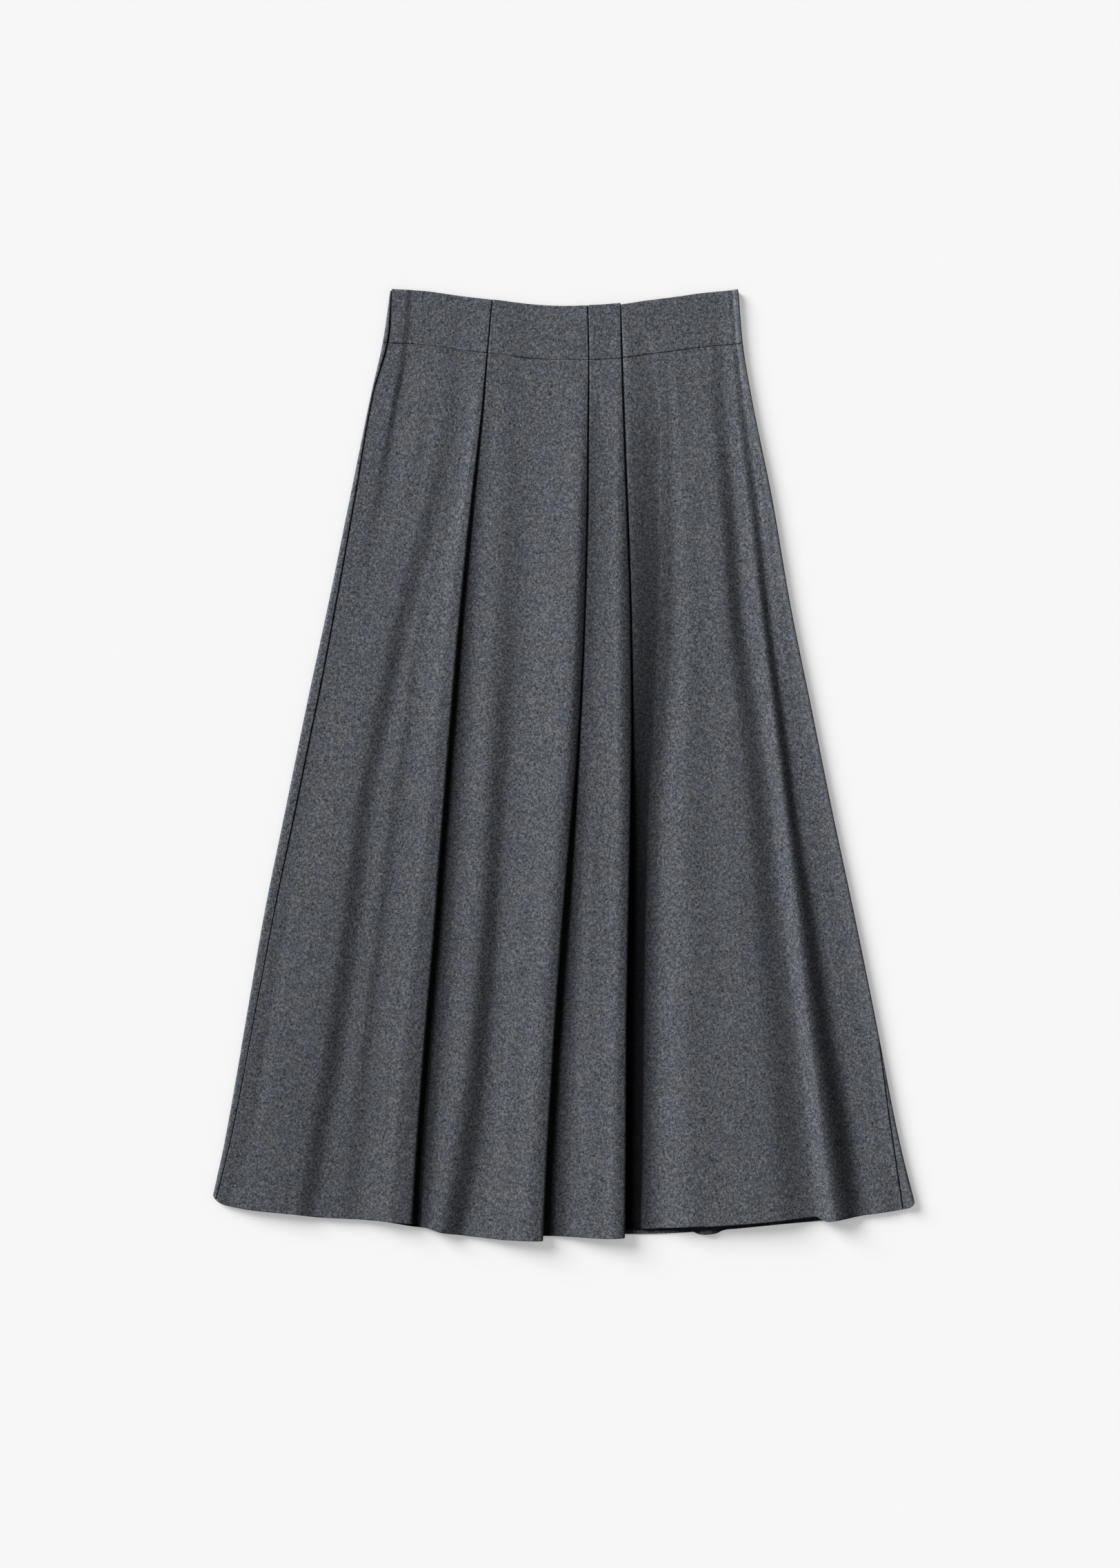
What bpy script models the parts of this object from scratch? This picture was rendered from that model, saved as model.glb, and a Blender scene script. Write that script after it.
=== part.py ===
"""A pleated A-line midi skirt in felted wool, laid flat on its back.

The skirt is a tube of cloth pressed flat. Its rows are arcs about the point where
the two side lines would meet, above the waist. A place on it is worked out from its
distance down from the waist's top edge, its offset along the row from the centre line,
and its height over the surface that the skirt lies on. Sizes are in millimetres, and
the last step turns them into metres. +X is the side away from the zip, +Y runs from
hem to waist, and +Z is up.
"""

import math

import bmesh
import bpy
import numpy as np

# Driving sizes
LENGTH = 880.0
BAND_DEPTH = 51.0
WAIST_RADIUS = 822.0
SIDE_LINES_MEET = (-0.5, 1254.0)
CLOTH = 1.5
GAP = 0.3
SIDE_SEAM = 0.4
LAYER = CLOTH + GAP + 0.05
MILLIMETRE = 0.001

# Heights of the middle of the cloth, for cloth that lies on the layer below it
BACK_HEIGHT = CLOTH / 2
UNDERLAY = BACK_HEIGHT + LAYER
RETURN = UNDERLAY + LAYER
SIDE_ROLL = 2.2
SIDE_HEIGHT = BACK_HEIGHT + 2 * SIDE_ROLL

# Each row of this table is one line that runs down the skirt, and its columns are at
# these distances from the waist's top edge
DOWN = (0, 50, 100, 200, 300, 400, 500, 600, 700, 800, 880)

# Offsets of the side lines, pleat edges and soft folds from the centre line
OFFSET = {
    "left_side": (-164, -171, -182, -202, -222, -243, -263, -283, -300, -317, -332),
    "left_fold": (-112, -114, -120, -134, -156, -176, -191, -206, -219, -229, -241),
    "pleat_a": (-67, -72, -76, -87, -97, -106, -115, -123, -132, -139, -143),
    "middle_fold": (-30, -32, -36, -44, -51, -56, -60, -70, -81, -91, -97),
    "pleat_b": (23, 24, 21, 16, 11, 7, 2, -3, -10, -16, -21),
    "pleat_c": (54, 55, 56, 57, 58, 59, 60, 60, 59, 59, 58),
    "right_fold": (146, 151, 152, 154, 159, 170, 183, 191, 201, 209, 208),
    "right_ridge": (158, 163, 168, 177, 188, 200, 213, 226, 235, 246, 258),
    "right_side": (166, 170, 178, 198, 215, 235, 255, 276, 296, 315, 333),
}

# Widths measured along the row: the strip of the back that shows past each side seam,
# and how far each pleat's underlay shows beside its edge
WIDTH = {
    "left_strip": (1.5, 5.0, 2.2, 5.0, 7.5, 9.8, 9.8, 9.5, 7.8, 6.2, 3.3),
    "right_strip": (0.5, 0.5, 0.5, 0.5, 0.5, 0.5, 0.5, 0.5, 0.5, 5.0, 11.0),
    "shows_a": (1.5, 1.5, 3.0, 5.0, 5.3, 5.3, 5.3, 5.3, 5.3, 5.3, 5.3),
    "shows_b": (1.5, 1.5, 3.0, 5.0, 7.0, 7.5, 7.2, 6.7, 6.0, 8.3, 11.4),
    "shows_c": (1.5, 6.0, 18.0, 22.0, 24.0, 20.0, 16.3, 16.2, 16.2, 15.6, 15.2),
    "roll_a": (6, 8, 14, 18, 20, 20, 20, 20, 20, 20, 20),
    "roll_b": (4, 5, 8, 12, 14, 16, 17, 18, 19, 20, 20),
    "roll_c": (6, 10, 12, 12, 12, 14, 16, 16, 16, 16, 16),
}

# Heights of the middle of the front's cloth
HEIGHT = {
    "zip_foot": (3.0, 3.0, 3.1, 3.8, 5.6, 6.6, 7.0, 7.0, 7.0, 7.0, 6.5),
    "left_crest": (3.0, 3.0, 3.4, 5.6, 7.6, 8.8, 9.5, 9.5, 9.5, 9.5, 8.5),
    "left_trough": (3.0, 3.0, 3.0, 3.0, 3.0, 3.0, 3.0, 3.0, 3.0, 3.0, 3.0),
    "pleat_crest": (6.4, 6.5, 7.0, 8.5, 10.0, 11.0, 12.0, 12.6, 13.2, 13.8, 14.0),
    "middle_crest": (2.8, 2.9, 3.4, 4.6, 6.6, 8.4, 9.4, 10.2, 11.0, 11.4, 11.4),
    "middle_trough": (2.8, 2.9, 3.2, 3.4, 3.2, 3.0, 3.0, 3.0, 3.0, 3.0, 3.0),
    "strip_crest": (2.8, 2.9, 3.4, 4.4, 5.6, 6.8, 7.8, 8.6, 9.2, 9.6, 9.6),
    "right_crest": (2.8, 4.0, 4.8, 6.4, 7.6, 8.6, 9.2, 9.6, 9.6, 9.6, 9.6),
    "right_trough": (2.8, 2.9, 3.0, 3.0, 3.0, 3.0, 3.2, 3.4, 3.4, 3.4, 3.4),
    "right_ridge": (4.9, 5.1, 5.4, 6.8, 8.0, 9.0, 10.0, 11.0, 11.6, 12.0, 12.0),
    "right_foot": (5.0, 5.1, 4.9, 4.2, 3.4, 3.0, 3.0, 3.0, 3.0, 3.0, 3.0),
}

# Pleats, from the zip side: how deep each is folded under at waist and hem, and how
# far its edge rolls down from its crest at the hem, and along what width
PLEATS = {
    "pleat_a": {"waist_depth": 14.0, "hem_depth": 40.0, "hem_lip": 3.0, "hem_roll": 18.0},
    "pleat_b": {"waist_depth": 13.0, "hem_depth": 38.0, "hem_lip": 2.4, "hem_roll": 14.0},
    "pleat_c": {"waist_depth": 10.0, "hem_depth": 30.0, "hem_lip": 2.0, "hem_roll": 10.0},
}
WAIST_ROLL = 3.0
WAIST_FOLD = 0.95
HEM_FOLD = 2.0

# The hem's distance from the waist's top edge, at lines on the front, and on the back at
# shares of the half width
HEM = {
    "left_side": 877.0,
    "left_fold": 874.0,
    "pleat_a": 870.0,
    "middle_start": 873.0,
    "middle_fold": 878.0,
    "pleat_b": 880.0,
    "strip_start": 876.0,
    "pleat_c": 878.0,
    "right_start": 871.0,
    "right_fold": 873.0,
    "right_ridge": 880.0,
    "right_side": 881.0,
}
BACK_HEM = {
    -1.0: 877.0,
    -0.8: 871.0,
    -0.6: 868.0,
    -0.3: 868.0,
    0.0: 873.0,
    0.3: 876.5,
    0.6: 877.5,
    0.8: 880.0,
    1.0: 881.0,
}

# The waist's top edge swings up between the side and the pleats. Each share of the
# half width has its distance below a true arc
WAIST_SWING = {
    -1.0: 0.4,
    -0.75: -3.9,
    -0.4: -3.1,
    0.0: 0.2,
    0.3: 0.4,
    0.5: -1.5,
    0.75: -1.8,
    1.0: 1.0,
}
BACK_WAIST_DROP = 1.5

# A small arch in the back's hem, on the side away from the zip
ARCH_OFFSET = 137.0
ARCH_WIDTH = 27.0
ARCH_RISE = 4.6
ARCH_STARTS = 700.0

# Concealed zip between front and back, at the left side
ZIP_LENGTH = 200.0
TAPE = 1.0
TAPE_INSET = 7.1
TAPE_WIDTH = 12.6
TAPE_TOP = 4.0
SLIDER_SIZE = (3.6, 11.0, 2.0)
SLIDER_INSET = 2.8
SLIDER_TOP = 8.0

# Rows of the mesh, as distances from the waist's top edge
BAND_ROWS = (0, 26, BAND_DEPTH - GAP / 2)
SKIRT_ROWS = (BAND_DEPTH + GAP / 2, 90, 150, 230, 320, 420, 530, 620, 700, 790, LENGTH)

WOOL = ("wool", (0.094, 0.101, 0.112), 0.95, 0.0)
ZIP_TAPE = ("zip_tape", (0.03, 0.032, 0.036), 0.8, 0.0)
ZIP_METAL = ("zip_metal", (0.09, 0.09, 0.1), 0.4, 0.8)


def offset(line, down):
    """Offset of a named line from the centre line at a distance down."""
    return float(np.interp(down, DOWN, OFFSET[line]))


def width(name, down):
    """A named width at a distance down."""
    return float(np.interp(down, DOWN, WIDTH[name]))


def height(name, down):
    """Height of a named crest or trough at a distance down."""
    return float(np.interp(down, DOWN, HEIGHT[name]))


def mix(waist, hem, down):
    """A value that changes evenly from waist to hem."""
    return waist + (hem - waist) * down / LENGTH


def points(offsets, heights, hems):
    """Points of a section: offset, height and the hem's distance, one row each."""
    shape = np.broadcast_arrays(np.asarray(offsets, float), heights, hems)
    return np.stack(shape, axis=1)


def soft_curve(knots, counts):
    """Points on a smooth curve that never swings past its knots."""
    place, level, hem = np.array(knots, float).T
    steps = np.diff(place)
    slopes = np.diff(level) / steps
    tangents = np.zeros(len(place))
    for index in range(1, len(place) - 1):
        before, after = slopes[index - 1], slopes[index]
        if before * after > 0:
            tangents[index] = 2 * before * after / (before + after)
    pieces = []
    for index, count in enumerate(counts):
        share = np.arange(count) / count
        start = (1 + 2 * share) * (1 - share) ** 2 * level[index]
        start += share * (1 - share) ** 2 * steps[index] * tangents[index]
        end = share**2 * (3 - 2 * share) * level[index + 1]
        end -= share**2 * (1 - share) * steps[index] * tangents[index + 1]
        along = place[index] + share * steps[index]
        hems = hem[index] + share * (hem[index + 1] - hem[index])
        pieces.append(points(along, start + end, hems))
    return np.concatenate(pieces)


def arc(centre, radius, first, last, count, hem):
    """Points on an arc, from one angle to another in degrees."""
    angles = np.radians(np.linspace(first, last, count))
    return points(centre[0] + radius * np.cos(angles), centre[1] + radius * np.sin(angles), hem)


def side_path(down, side, lengths, hem):
    """Points round the fold along a side, from the back up onto the front.

    The lengths run along the middle of the cloth from where it leaves the surface.
    The fold is half a circle, and the cloth then runs flat towards the centre.
    """
    turn = np.minimum(lengths / SIDE_ROLL, math.pi)
    inward = SIDE_ROLL - SIDE_ROLL * np.sin(turn) + np.maximum(lengths - math.pi * SIDE_ROLL, 0)
    levels = BACK_HEIGHT + SIDE_ROLL * (1 - np.cos(turn))
    outer = abs(offset(side, down)) - CLOTH / 2
    return points(math.copysign(1, offset(side, down)) * (outer - inward), levels, hem)


def from_seam(seam, last, count):
    """Lengths from a seam to a place along the side fold.

    One more step before the seam only sets the angle of the cloth's cut edge.
    """
    return seam + (last - seam) / (count - 1) * np.arange(-1, count)


def length_round_side(strip):
    """Length along the side fold to the place that is a given distance inside the side."""
    inward = max(strip - CLOTH / 2, 0.0)
    if inward < SIDE_ROLL:
        return SIDE_ROLL * (math.pi - math.asin(1 - inward / SIDE_ROLL))
    return math.pi * SIDE_ROLL + inward - SIDE_ROLL


def pleat_fold(down, name, crest, next_crest, next_hem):
    """Points of one pleat, and the knot at which the next panel's curve starts.

    They run round the rolled edge, back along the return, out again along the underlay
    and up the next panel's rolled edge.
    """
    sizes = PLEATS[name]
    edge = offset(name, down) - CLOTH / 2
    hem = HEM[name]
    fold = mix(WAIST_FOLD, HEM_FOLD, down)
    lip = crest - mix(0, sizes["hem_lip"], down)
    depth = mix(sizes["waist_depth"], sizes["hem_depth"], down)
    inner = edge - depth
    inner_radius = LAYER / 2
    shows = edge + CLOTH + width("shows_" + name[-1], down)
    roll = width("roll_" + name[-1], down)
    rolled = arc((edge - fold, lip - fold), fold, 90, -90, 5, hem)
    back = soft_curve([(inner, RETURN, hem), (edge - fold, lip - 2 * fold, hem)], [3])[::-1]
    turned = arc((inner, UNDERLAY + inner_radius), inner_radius, 90, 270, 5, hem)[1:]
    under = points(np.linspace(inner, shows, 4)[1:], UNDERLAY, np.linspace(hem, next_hem, 4)[1:])
    angles = np.radians(np.linspace(0, 90, 5)[1:-1])
    levels = UNDERLAY + (next_crest - UNDERLAY) * np.sin(angles)
    risen = points(shows + roll * (1 - np.cos(angles)), levels, next_hem)
    return np.concatenate([rolled, back, turned, under, risen]), (shows + roll, next_crest, next_hem)


def pleat_approach(down, name, crest):
    """Knots of the panel that runs up onto a pleat: its shoulder, crest and lip."""
    sizes = PLEATS[name]
    edge = offset(name, down) - CLOTH / 2
    hem = HEM[name]
    fold = mix(WAIST_FOLD, HEM_FOLD, down)
    depth = mix(sizes["waist_depth"], sizes["hem_depth"], down)
    roll = mix(WAIST_ROLL, sizes["hem_roll"], down)
    shoulder = RETURN + LAYER + 0.3 * (crest - RETURN - LAYER)
    lip = crest - mix(0, sizes["hem_lip"], down)
    return [
        (edge - depth - LAYER - CLOTH, shoulder, hem),
        (edge - roll, crest, hem),
        (edge - fold, lip, hem),
    ]


def soft_width(down, line, neighbour):
    """Half the width of a soft fold, less where the next line is near."""
    return min(14.0, 0.35 * abs(offset(neighbour, down) - offset(line, down)))


def front_section(down):
    """The front's whole section at a distance down, from the left seam to the right seam."""
    crest = height("pleat_crest", down)
    left, right = offset("left_side", down), offset("right_side", down)
    seam = length_round_side(width("left_strip", down)) + SIDE_SEAM / 2
    landing = math.pi * SIDE_ROLL + 10.0
    left_edge = side_path(down, "left_side", from_seam(seam, landing, 6)[:-1], HEM["left_side"])
    start = (left + CLOTH / 2 + SIDE_ROLL + 10.0, SIDE_HEIGHT, HEM["left_side"])
    soft = soft_width(down, "left_fold", "left_side")
    fold = offset("left_fold", down)
    left_panel = soft_curve(
        [
            start,
            (left + TAPE_INSET + TAPE_WIDTH + 1, SIDE_HEIGHT, HEM["left_side"]),
            (left + TAPE_INSET + TAPE_WIDTH + 8, height("zip_foot", down), HEM["left_side"]),
            (fold - soft, height("left_crest", down), HEM["left_fold"]),
            (fold + 0.6 * soft, height("left_trough", down), HEM["left_fold"]),
            *pleat_approach(down, "pleat_a", crest),
        ],
        [1, 2, 3, 4, 4, 4, 3],
    )
    rise = height("middle_crest", down)
    pleat_a, middle_start = pleat_fold(down, "pleat_a", crest, rise, HEM["middle_start"])
    fold = offset("middle_fold", down)
    soft = soft_width(down, "middle_fold", "pleat_b")
    middle_panel = soft_curve(
        [
            middle_start,
            (fold - soft, height("middle_crest", down), HEM["middle_fold"]),
            (fold + soft, height("middle_trough", down), HEM["middle_fold"]),
            *pleat_approach(down, "pleat_b", crest),
        ],
        [2, 4, 4, 4, 3],
    )
    rise = height("strip_crest", down)
    pleat_b, strip_start = pleat_fold(down, "pleat_b", crest, rise, HEM["strip_start"])
    strip = soft_curve([strip_start, *pleat_approach(down, "pleat_c", crest)], [3, 3, 3])
    rise = height("right_crest", down)
    pleat_c, right_start = pleat_fold(down, "pleat_c", crest, rise, HEM["right_start"])
    fold = offset("right_fold", down)
    ridge = offset("right_ridge", down)
    soft = soft_width(down, "right_fold", "right_ridge")
    room = right - ridge
    landing_inset = min(14.0, 0.5 * room)
    right_panel = soft_curve(
        [
            right_start,
            (fold - soft, height("right_crest", down), HEM["right_fold"]),
            (fold + soft, height("right_trough", down), HEM["right_fold"]),
            (ridge, height("right_ridge", down), HEM["right_ridge"]),
            (ridge + min(12.0, 0.25 * room), height("right_foot", down), HEM["right_ridge"]),
            (right - landing_inset, SIDE_HEIGHT, HEM["right_side"]),
        ],
        [3, 4, 4, 3, 3],
    )
    landing = math.pi * SIDE_ROLL + landing_inset - CLOTH / 2 - SIDE_ROLL
    seam = length_round_side(width("right_strip", down)) + SIDE_SEAM / 2
    right_edge = side_path(down, "right_side", from_seam(seam, landing, 6)[::-1], HEM["right_side"])
    left_half = [left_edge, left_panel, pleat_a, middle_panel]
    right_half = [pleat_b, strip, pleat_c, right_panel, right_edge]
    return np.concatenate(left_half + right_half)


def arch_rise(down):
    """Heights added to the back over the small arch in its hem, and their offsets."""
    share = np.linspace(-1, 1, 9)
    growth = max(0.0, (down - ARCH_STARTS) / (LENGTH - ARCH_STARTS))
    rise = ARCH_RISE * growth * (1 + np.cos(math.pi * share)) / 2
    return ARCH_OFFSET + share * ARCH_WIDTH / 2, rise


def back_section(down):
    """The back's section, from its left seam round under the skirt to its right seam."""
    left, right = offset("left_side", down), offset("right_side", down)
    left_seam = length_round_side(width("left_strip", down)) - SIDE_SEAM / 2
    right_seam = length_round_side(width("right_strip", down)) - SIDE_SEAM / 2
    left_edge = side_path(down, "left_side", from_seam(left_seam, 0, 8), 0)
    right_edge = side_path(down, "right_side", from_seam(right_seam, 0, 8)[::-1], 0)
    arch, rise = arch_rise(down)
    first, last = left_edge[-1][0], right_edge[0][0]
    flat = points(np.linspace(first, arch[0], 7)[1:-1], BACK_HEIGHT, 0)
    arched = points(arch, BACK_HEIGHT + rise, 0)
    end = points(np.linspace(arch[-1], last, 3)[1:-1], BACK_HEIGHT, 0)
    section = np.concatenate([left_edge, flat, arched, end, right_edge])
    half = (right - left) / 2
    share = section[:, 0] / half
    section[:, 2] = np.interp(share, list(BACK_HEM), list(BACK_HEM.values()))
    return section


def wall_sides(section):
    """Offset a section by half the cloth to each side, mitred at its corners.

    The section's first and last points only set the angle of its cut edges.
    """
    line = section[:, :2]
    steps = np.diff(line, axis=0)
    steps /= np.linalg.norm(steps, axis=1, keepdims=True)
    normals = np.stack([-steps[:, 1], steps[:, 0]], axis=1)
    corner = normals[:-1] + normals[1:]
    corner /= 1 + np.sum(normals[:-1] * normals[1:], axis=1, keepdims=True)
    return line[1:-1] + corner * CLOTH / 2, line[1:-1] - corner * CLOTH / 2


def place(line, down, hems, half, drop=0.0):
    """World places of a section's points at a nominal distance down."""
    swing = np.interp(line[:, 0] / half, list(WAIST_SWING), list(WAIST_SWING.values()))
    swing += drop * max(0.0, 1 - down / BAND_DEPTH)
    radius = WAIST_RADIUS + swing + down * (hems - swing) / LENGTH
    angle = line[:, 0] / radius
    x = SIDE_LINES_MEET[0] + radius * np.sin(angle)
    y = SIDE_LINES_MEET[1] - radius * np.cos(angle)
    return np.stack([x, y, line[:, 1]], axis=1) * MILLIMETRE


def material(name, colour, roughness, metallic):
    """A material with one colour."""
    made = bpy.data.materials.new(name)
    made.use_nodes = True
    shader = made.node_tree.nodes["Principled BSDF"]
    shader.inputs["Base Color"].default_value = (*colour, 1)
    shader.inputs["Roughness"].default_value = roughness
    shader.inputs["Metallic"].default_value = metallic
    return made


def add_object(name, mesh_data, made):
    """Add a mesh to the scene as one named piece."""
    mesh = bpy.data.meshes.new(name)
    mesh_data.to_mesh(mesh)
    mesh_data.free()
    mesh.materials.append(made)
    piece = bpy.data.objects.new(name, mesh)
    bpy.context.scene.collection.objects.link(piece)
    return piece


def cloth_wall(name, rows, section_at, made, drop=0.0):
    """A closed wall of cloth through the sections at the given rows."""
    mesh_data = bmesh.new()
    grids = ([], [])
    for down in rows:
        section = section_at(down)
        half = (offset("right_side", down) - offset("left_side", down)) / 2
        for grid, side in zip(grids, wall_sides(section)):
            grid.append([mesh_data.verts.new(co) for co in place(side, down, section[1:-1, 2], half, drop)])
    outer, inner = grids
    last_row, last_point = len(rows) - 1, len(outer[0]) - 1
    for row in range(last_row):
        for point in range(last_point):
            corners = ((row, point), (row + 1, point), (row + 1, point + 1), (row, point + 1))
            mesh_data.faces.new([outer[i][j] for i, j in corners])
            mesh_data.faces.new([inner[i][j] for i, j in reversed(corners)])
    side_edges = [((row, point), (row + 1, point)) for row in range(last_row) for point in (0, last_point)]
    row_edges = [((row, point), (row, point + 1)) for row in (0, last_row) for point in range(last_point)]
    for first, second in side_edges + row_edges:
        ends = (outer[first[0]][first[1]], outer[second[0]][second[1]])
        mesh_data.faces.new([*ends, inner[second[0]][second[1]], inner[first[0]][first[1]]])
    bmesh.ops.recalc_face_normals(mesh_data, faces=mesh_data.faces)
    bmesh.ops.triangulate(mesh_data, faces=mesh_data.faces)
    return add_object(name, mesh_data, made)


def tape_strip(name, bottom, made):
    """One flat tape of the zip, which follows the left side."""
    mesh_data = bmesh.new()
    rings = []
    for down in (TAPE_TOP, BAND_DEPTH, 100, 150, ZIP_LENGTH):
        half = (offset("right_side", down) - offset("left_side", down)) / 2
        outer = offset("left_side", down) + TAPE_INSET
        ring = np.array(
            [
                (outer, bottom),
                (outer + TAPE_WIDTH, bottom),
                (outer + TAPE_WIDTH, bottom + TAPE),
                (outer, bottom + TAPE),
            ]
        )
        rings.append([mesh_data.verts.new(co) for co in place(ring, down, HEM["left_side"], half)])
    for above, below in zip(rings, rings[1:]):
        for corner in range(4):
            following = (corner + 1) % 4
            mesh_data.faces.new([above[corner], below[corner], below[following], above[following]])
    mesh_data.faces.new(rings[0])
    mesh_data.faces.new(rings[-1][::-1])
    bmesh.ops.recalc_face_normals(mesh_data, faces=mesh_data.faces)
    return add_object(name, mesh_data, made)


def zip_slider(made):
    """The zip's slider, closed, at the top of the side opening."""
    mesh_data = bmesh.new()
    bmesh.ops.create_cube(mesh_data, size=1.0)
    size = [value * MILLIMETRE for value in SLIDER_SIZE]
    bmesh.ops.scale(mesh_data, vec=size, verts=mesh_data.verts)
    bmesh.ops.bevel(
        mesh_data,
        geom=mesh_data.edges[:],
        offset=0.3 * MILLIMETRE,
        segments=1,
        affect="EDGES",
    )
    piece = add_object("zip_slider", mesh_data, made)
    down = SLIDER_TOP + SLIDER_SIZE[1] / 2
    half = (offset("right_side", down) - offset("left_side", down)) / 2
    middle = offset("left_side", down) + SLIDER_INSET + SLIDER_SIZE[0] / 2
    level = CLOTH + GAP + SLIDER_SIZE[2] / 2 + 0.1
    spot = place(np.array([[middle, level]]), down, HEM["left_side"], half)[0]
    piece.location = spot
    piece.rotation_euler = (0, 0, middle / (WAIST_RADIUS + down))
    return piece


def build_skirt():
    """Build every piece of the skirt."""
    for existing in list(bpy.data.objects):
        bpy.data.objects.remove(existing, do_unlink=True)
    wool, tape, metal = material(*WOOL), material(*ZIP_TAPE), material(*ZIP_METAL)
    cloth_wall("front_skirt", SKIRT_ROWS, front_section, wool)
    cloth_wall("front_waistband", BAND_ROWS, front_section, wool)
    cloth_wall("back_skirt", SKIRT_ROWS, back_section, wool)
    cloth_wall("back_waistband", BAND_ROWS, back_section, wool, drop=BACK_WAIST_DROP)
    back_tape = CLOTH + GAP
    tape_strip("zip_tape_back", back_tape, tape)
    tape_strip("zip_tape_front", back_tape + TAPE + GAP, tape)
    zip_slider(metal)


build_skirt()
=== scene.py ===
"""A pleated A-line midi skirt in grey wool flannel, laid flat on its back.

The cloth is drawn as sections across the skirt. A section is a line through the middle
of the cloth: each of its points has an offset from the centre line, a level over the
surface that the skirt lies on, and the distances at which its hem and its waist edge lie.
The rows are arcs about the point where the two side lines would meet, so a distance down
and an offset give a place. Sizes are in millimetres until the last step makes metres.
+X is the side away from the zip, +Y runs from hem to waist, and +Z is up.
"""

import logging
import math
from dataclasses import dataclass, field
from enum import Enum
from functools import partial
from typing import Any, Callable, Sequence

import bmesh
import bpy
import numpy as np
from mathutils import Matrix, Vector, noise


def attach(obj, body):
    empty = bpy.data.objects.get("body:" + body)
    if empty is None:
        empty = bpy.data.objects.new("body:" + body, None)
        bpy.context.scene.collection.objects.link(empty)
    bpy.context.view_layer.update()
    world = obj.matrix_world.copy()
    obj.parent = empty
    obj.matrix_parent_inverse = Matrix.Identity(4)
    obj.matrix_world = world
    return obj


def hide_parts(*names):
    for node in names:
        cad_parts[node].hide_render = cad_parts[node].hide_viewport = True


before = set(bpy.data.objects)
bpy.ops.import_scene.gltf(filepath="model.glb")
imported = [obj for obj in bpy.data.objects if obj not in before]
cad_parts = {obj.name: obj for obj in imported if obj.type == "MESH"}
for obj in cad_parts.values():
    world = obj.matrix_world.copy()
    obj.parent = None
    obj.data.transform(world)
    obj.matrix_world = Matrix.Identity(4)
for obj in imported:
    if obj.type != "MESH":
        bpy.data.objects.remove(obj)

LOG = logging.getLogger("skirt")
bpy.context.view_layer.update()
MILLIMETRE = 0.001

PHOTO_WIDTH = 1624
PHOTO_HEIGHT = 2274
MILLIMETRES_PER_PIXEL = 0.65
CENTRE_LINE_U = 817.5
MIDDLE_V = 1109.0

# Columns of a section's points; the last holds the painted shade of folds and pleat mouths
OFFSET, LEVEL, HEM, TOP, FREE, PAINTED_SHADE = range(6)


class Slot(Enum):
    """The record's material slots."""

    WOOL = "wool"
    ZIP_TAPE = "zip_tape"
    ZIP_METAL = "zip_metal"


class Hold(Enum):
    """How a piece of cloth lies."""

    LAID = "laid"
    FOLDED = "folded"


def held_share(share: float) -> float:
    """A share held between 0 and 1."""
    return min(max(share, 0.0), 1.0)


def find_socket(sockets: Sequence[bpy.types.NodeSocket], key: str | int) -> bpy.types.NodeSocket:
    """Find one of a node's sockets.

    Args:
        sockets: The node's inputs or its outputs.
        key: The socket's number, its identifier or its name.

    Returns:
        The first socket that fits.
    """
    if isinstance(key, int):
        return sockets[key]
    return next(socket for socket in sockets if key in (socket.identifier, socket.name))


class Value:
    """A shader socket that takes part in Python expressions."""

    def __init__(self, graph: "Graph", socket: bpy.types.NodeSocket) -> None:
        """Wrap an output socket of a graph."""
        self.graph = graph
        self.socket = socket

    def __add__(self, other: "Value | float") -> "Value":
        """Add."""
        return self.graph.maths("ADD", self, other)

    def __sub__(self, other: "Value | float") -> "Value":
        """Subtract."""
        return self.graph.maths("SUBTRACT", self, other)

    def __rsub__(self, other: float) -> "Value":
        """Subtract from a number."""
        return self.graph.maths("SUBTRACT", other, self)

    def __mul__(self, other: "Value | float") -> "Value":
        """Multiply."""
        return self.graph.maths("MULTIPLY", self, other)

    __radd__ = __add__
    __rmul__ = __mul__

    def size(self) -> "Value":
        """The value without its sign."""
        return self.graph.maths("ABSOLUTE", self)

    def held(self) -> "Value":
        """The value held between 0 and 1."""
        return self.graph.node("ShaderNodeClamp", inputs={"Value": self}, output="Result")

    def step(self, low: float, high: float) -> "Value":
        """A soft step that is 0 below low and 1 above high.

        Args:
            low: Where the step starts.
            high: Where it ends.

        Returns:
            The step's value.
        """
        settings = {"interpolation_type": "SMOOTHSTEP"}
        inputs = {"Value": self, "From Min": low, "From Max": high}
        return self.graph.node("ShaderNodeMapRange", settings, inputs, "Result")


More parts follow.
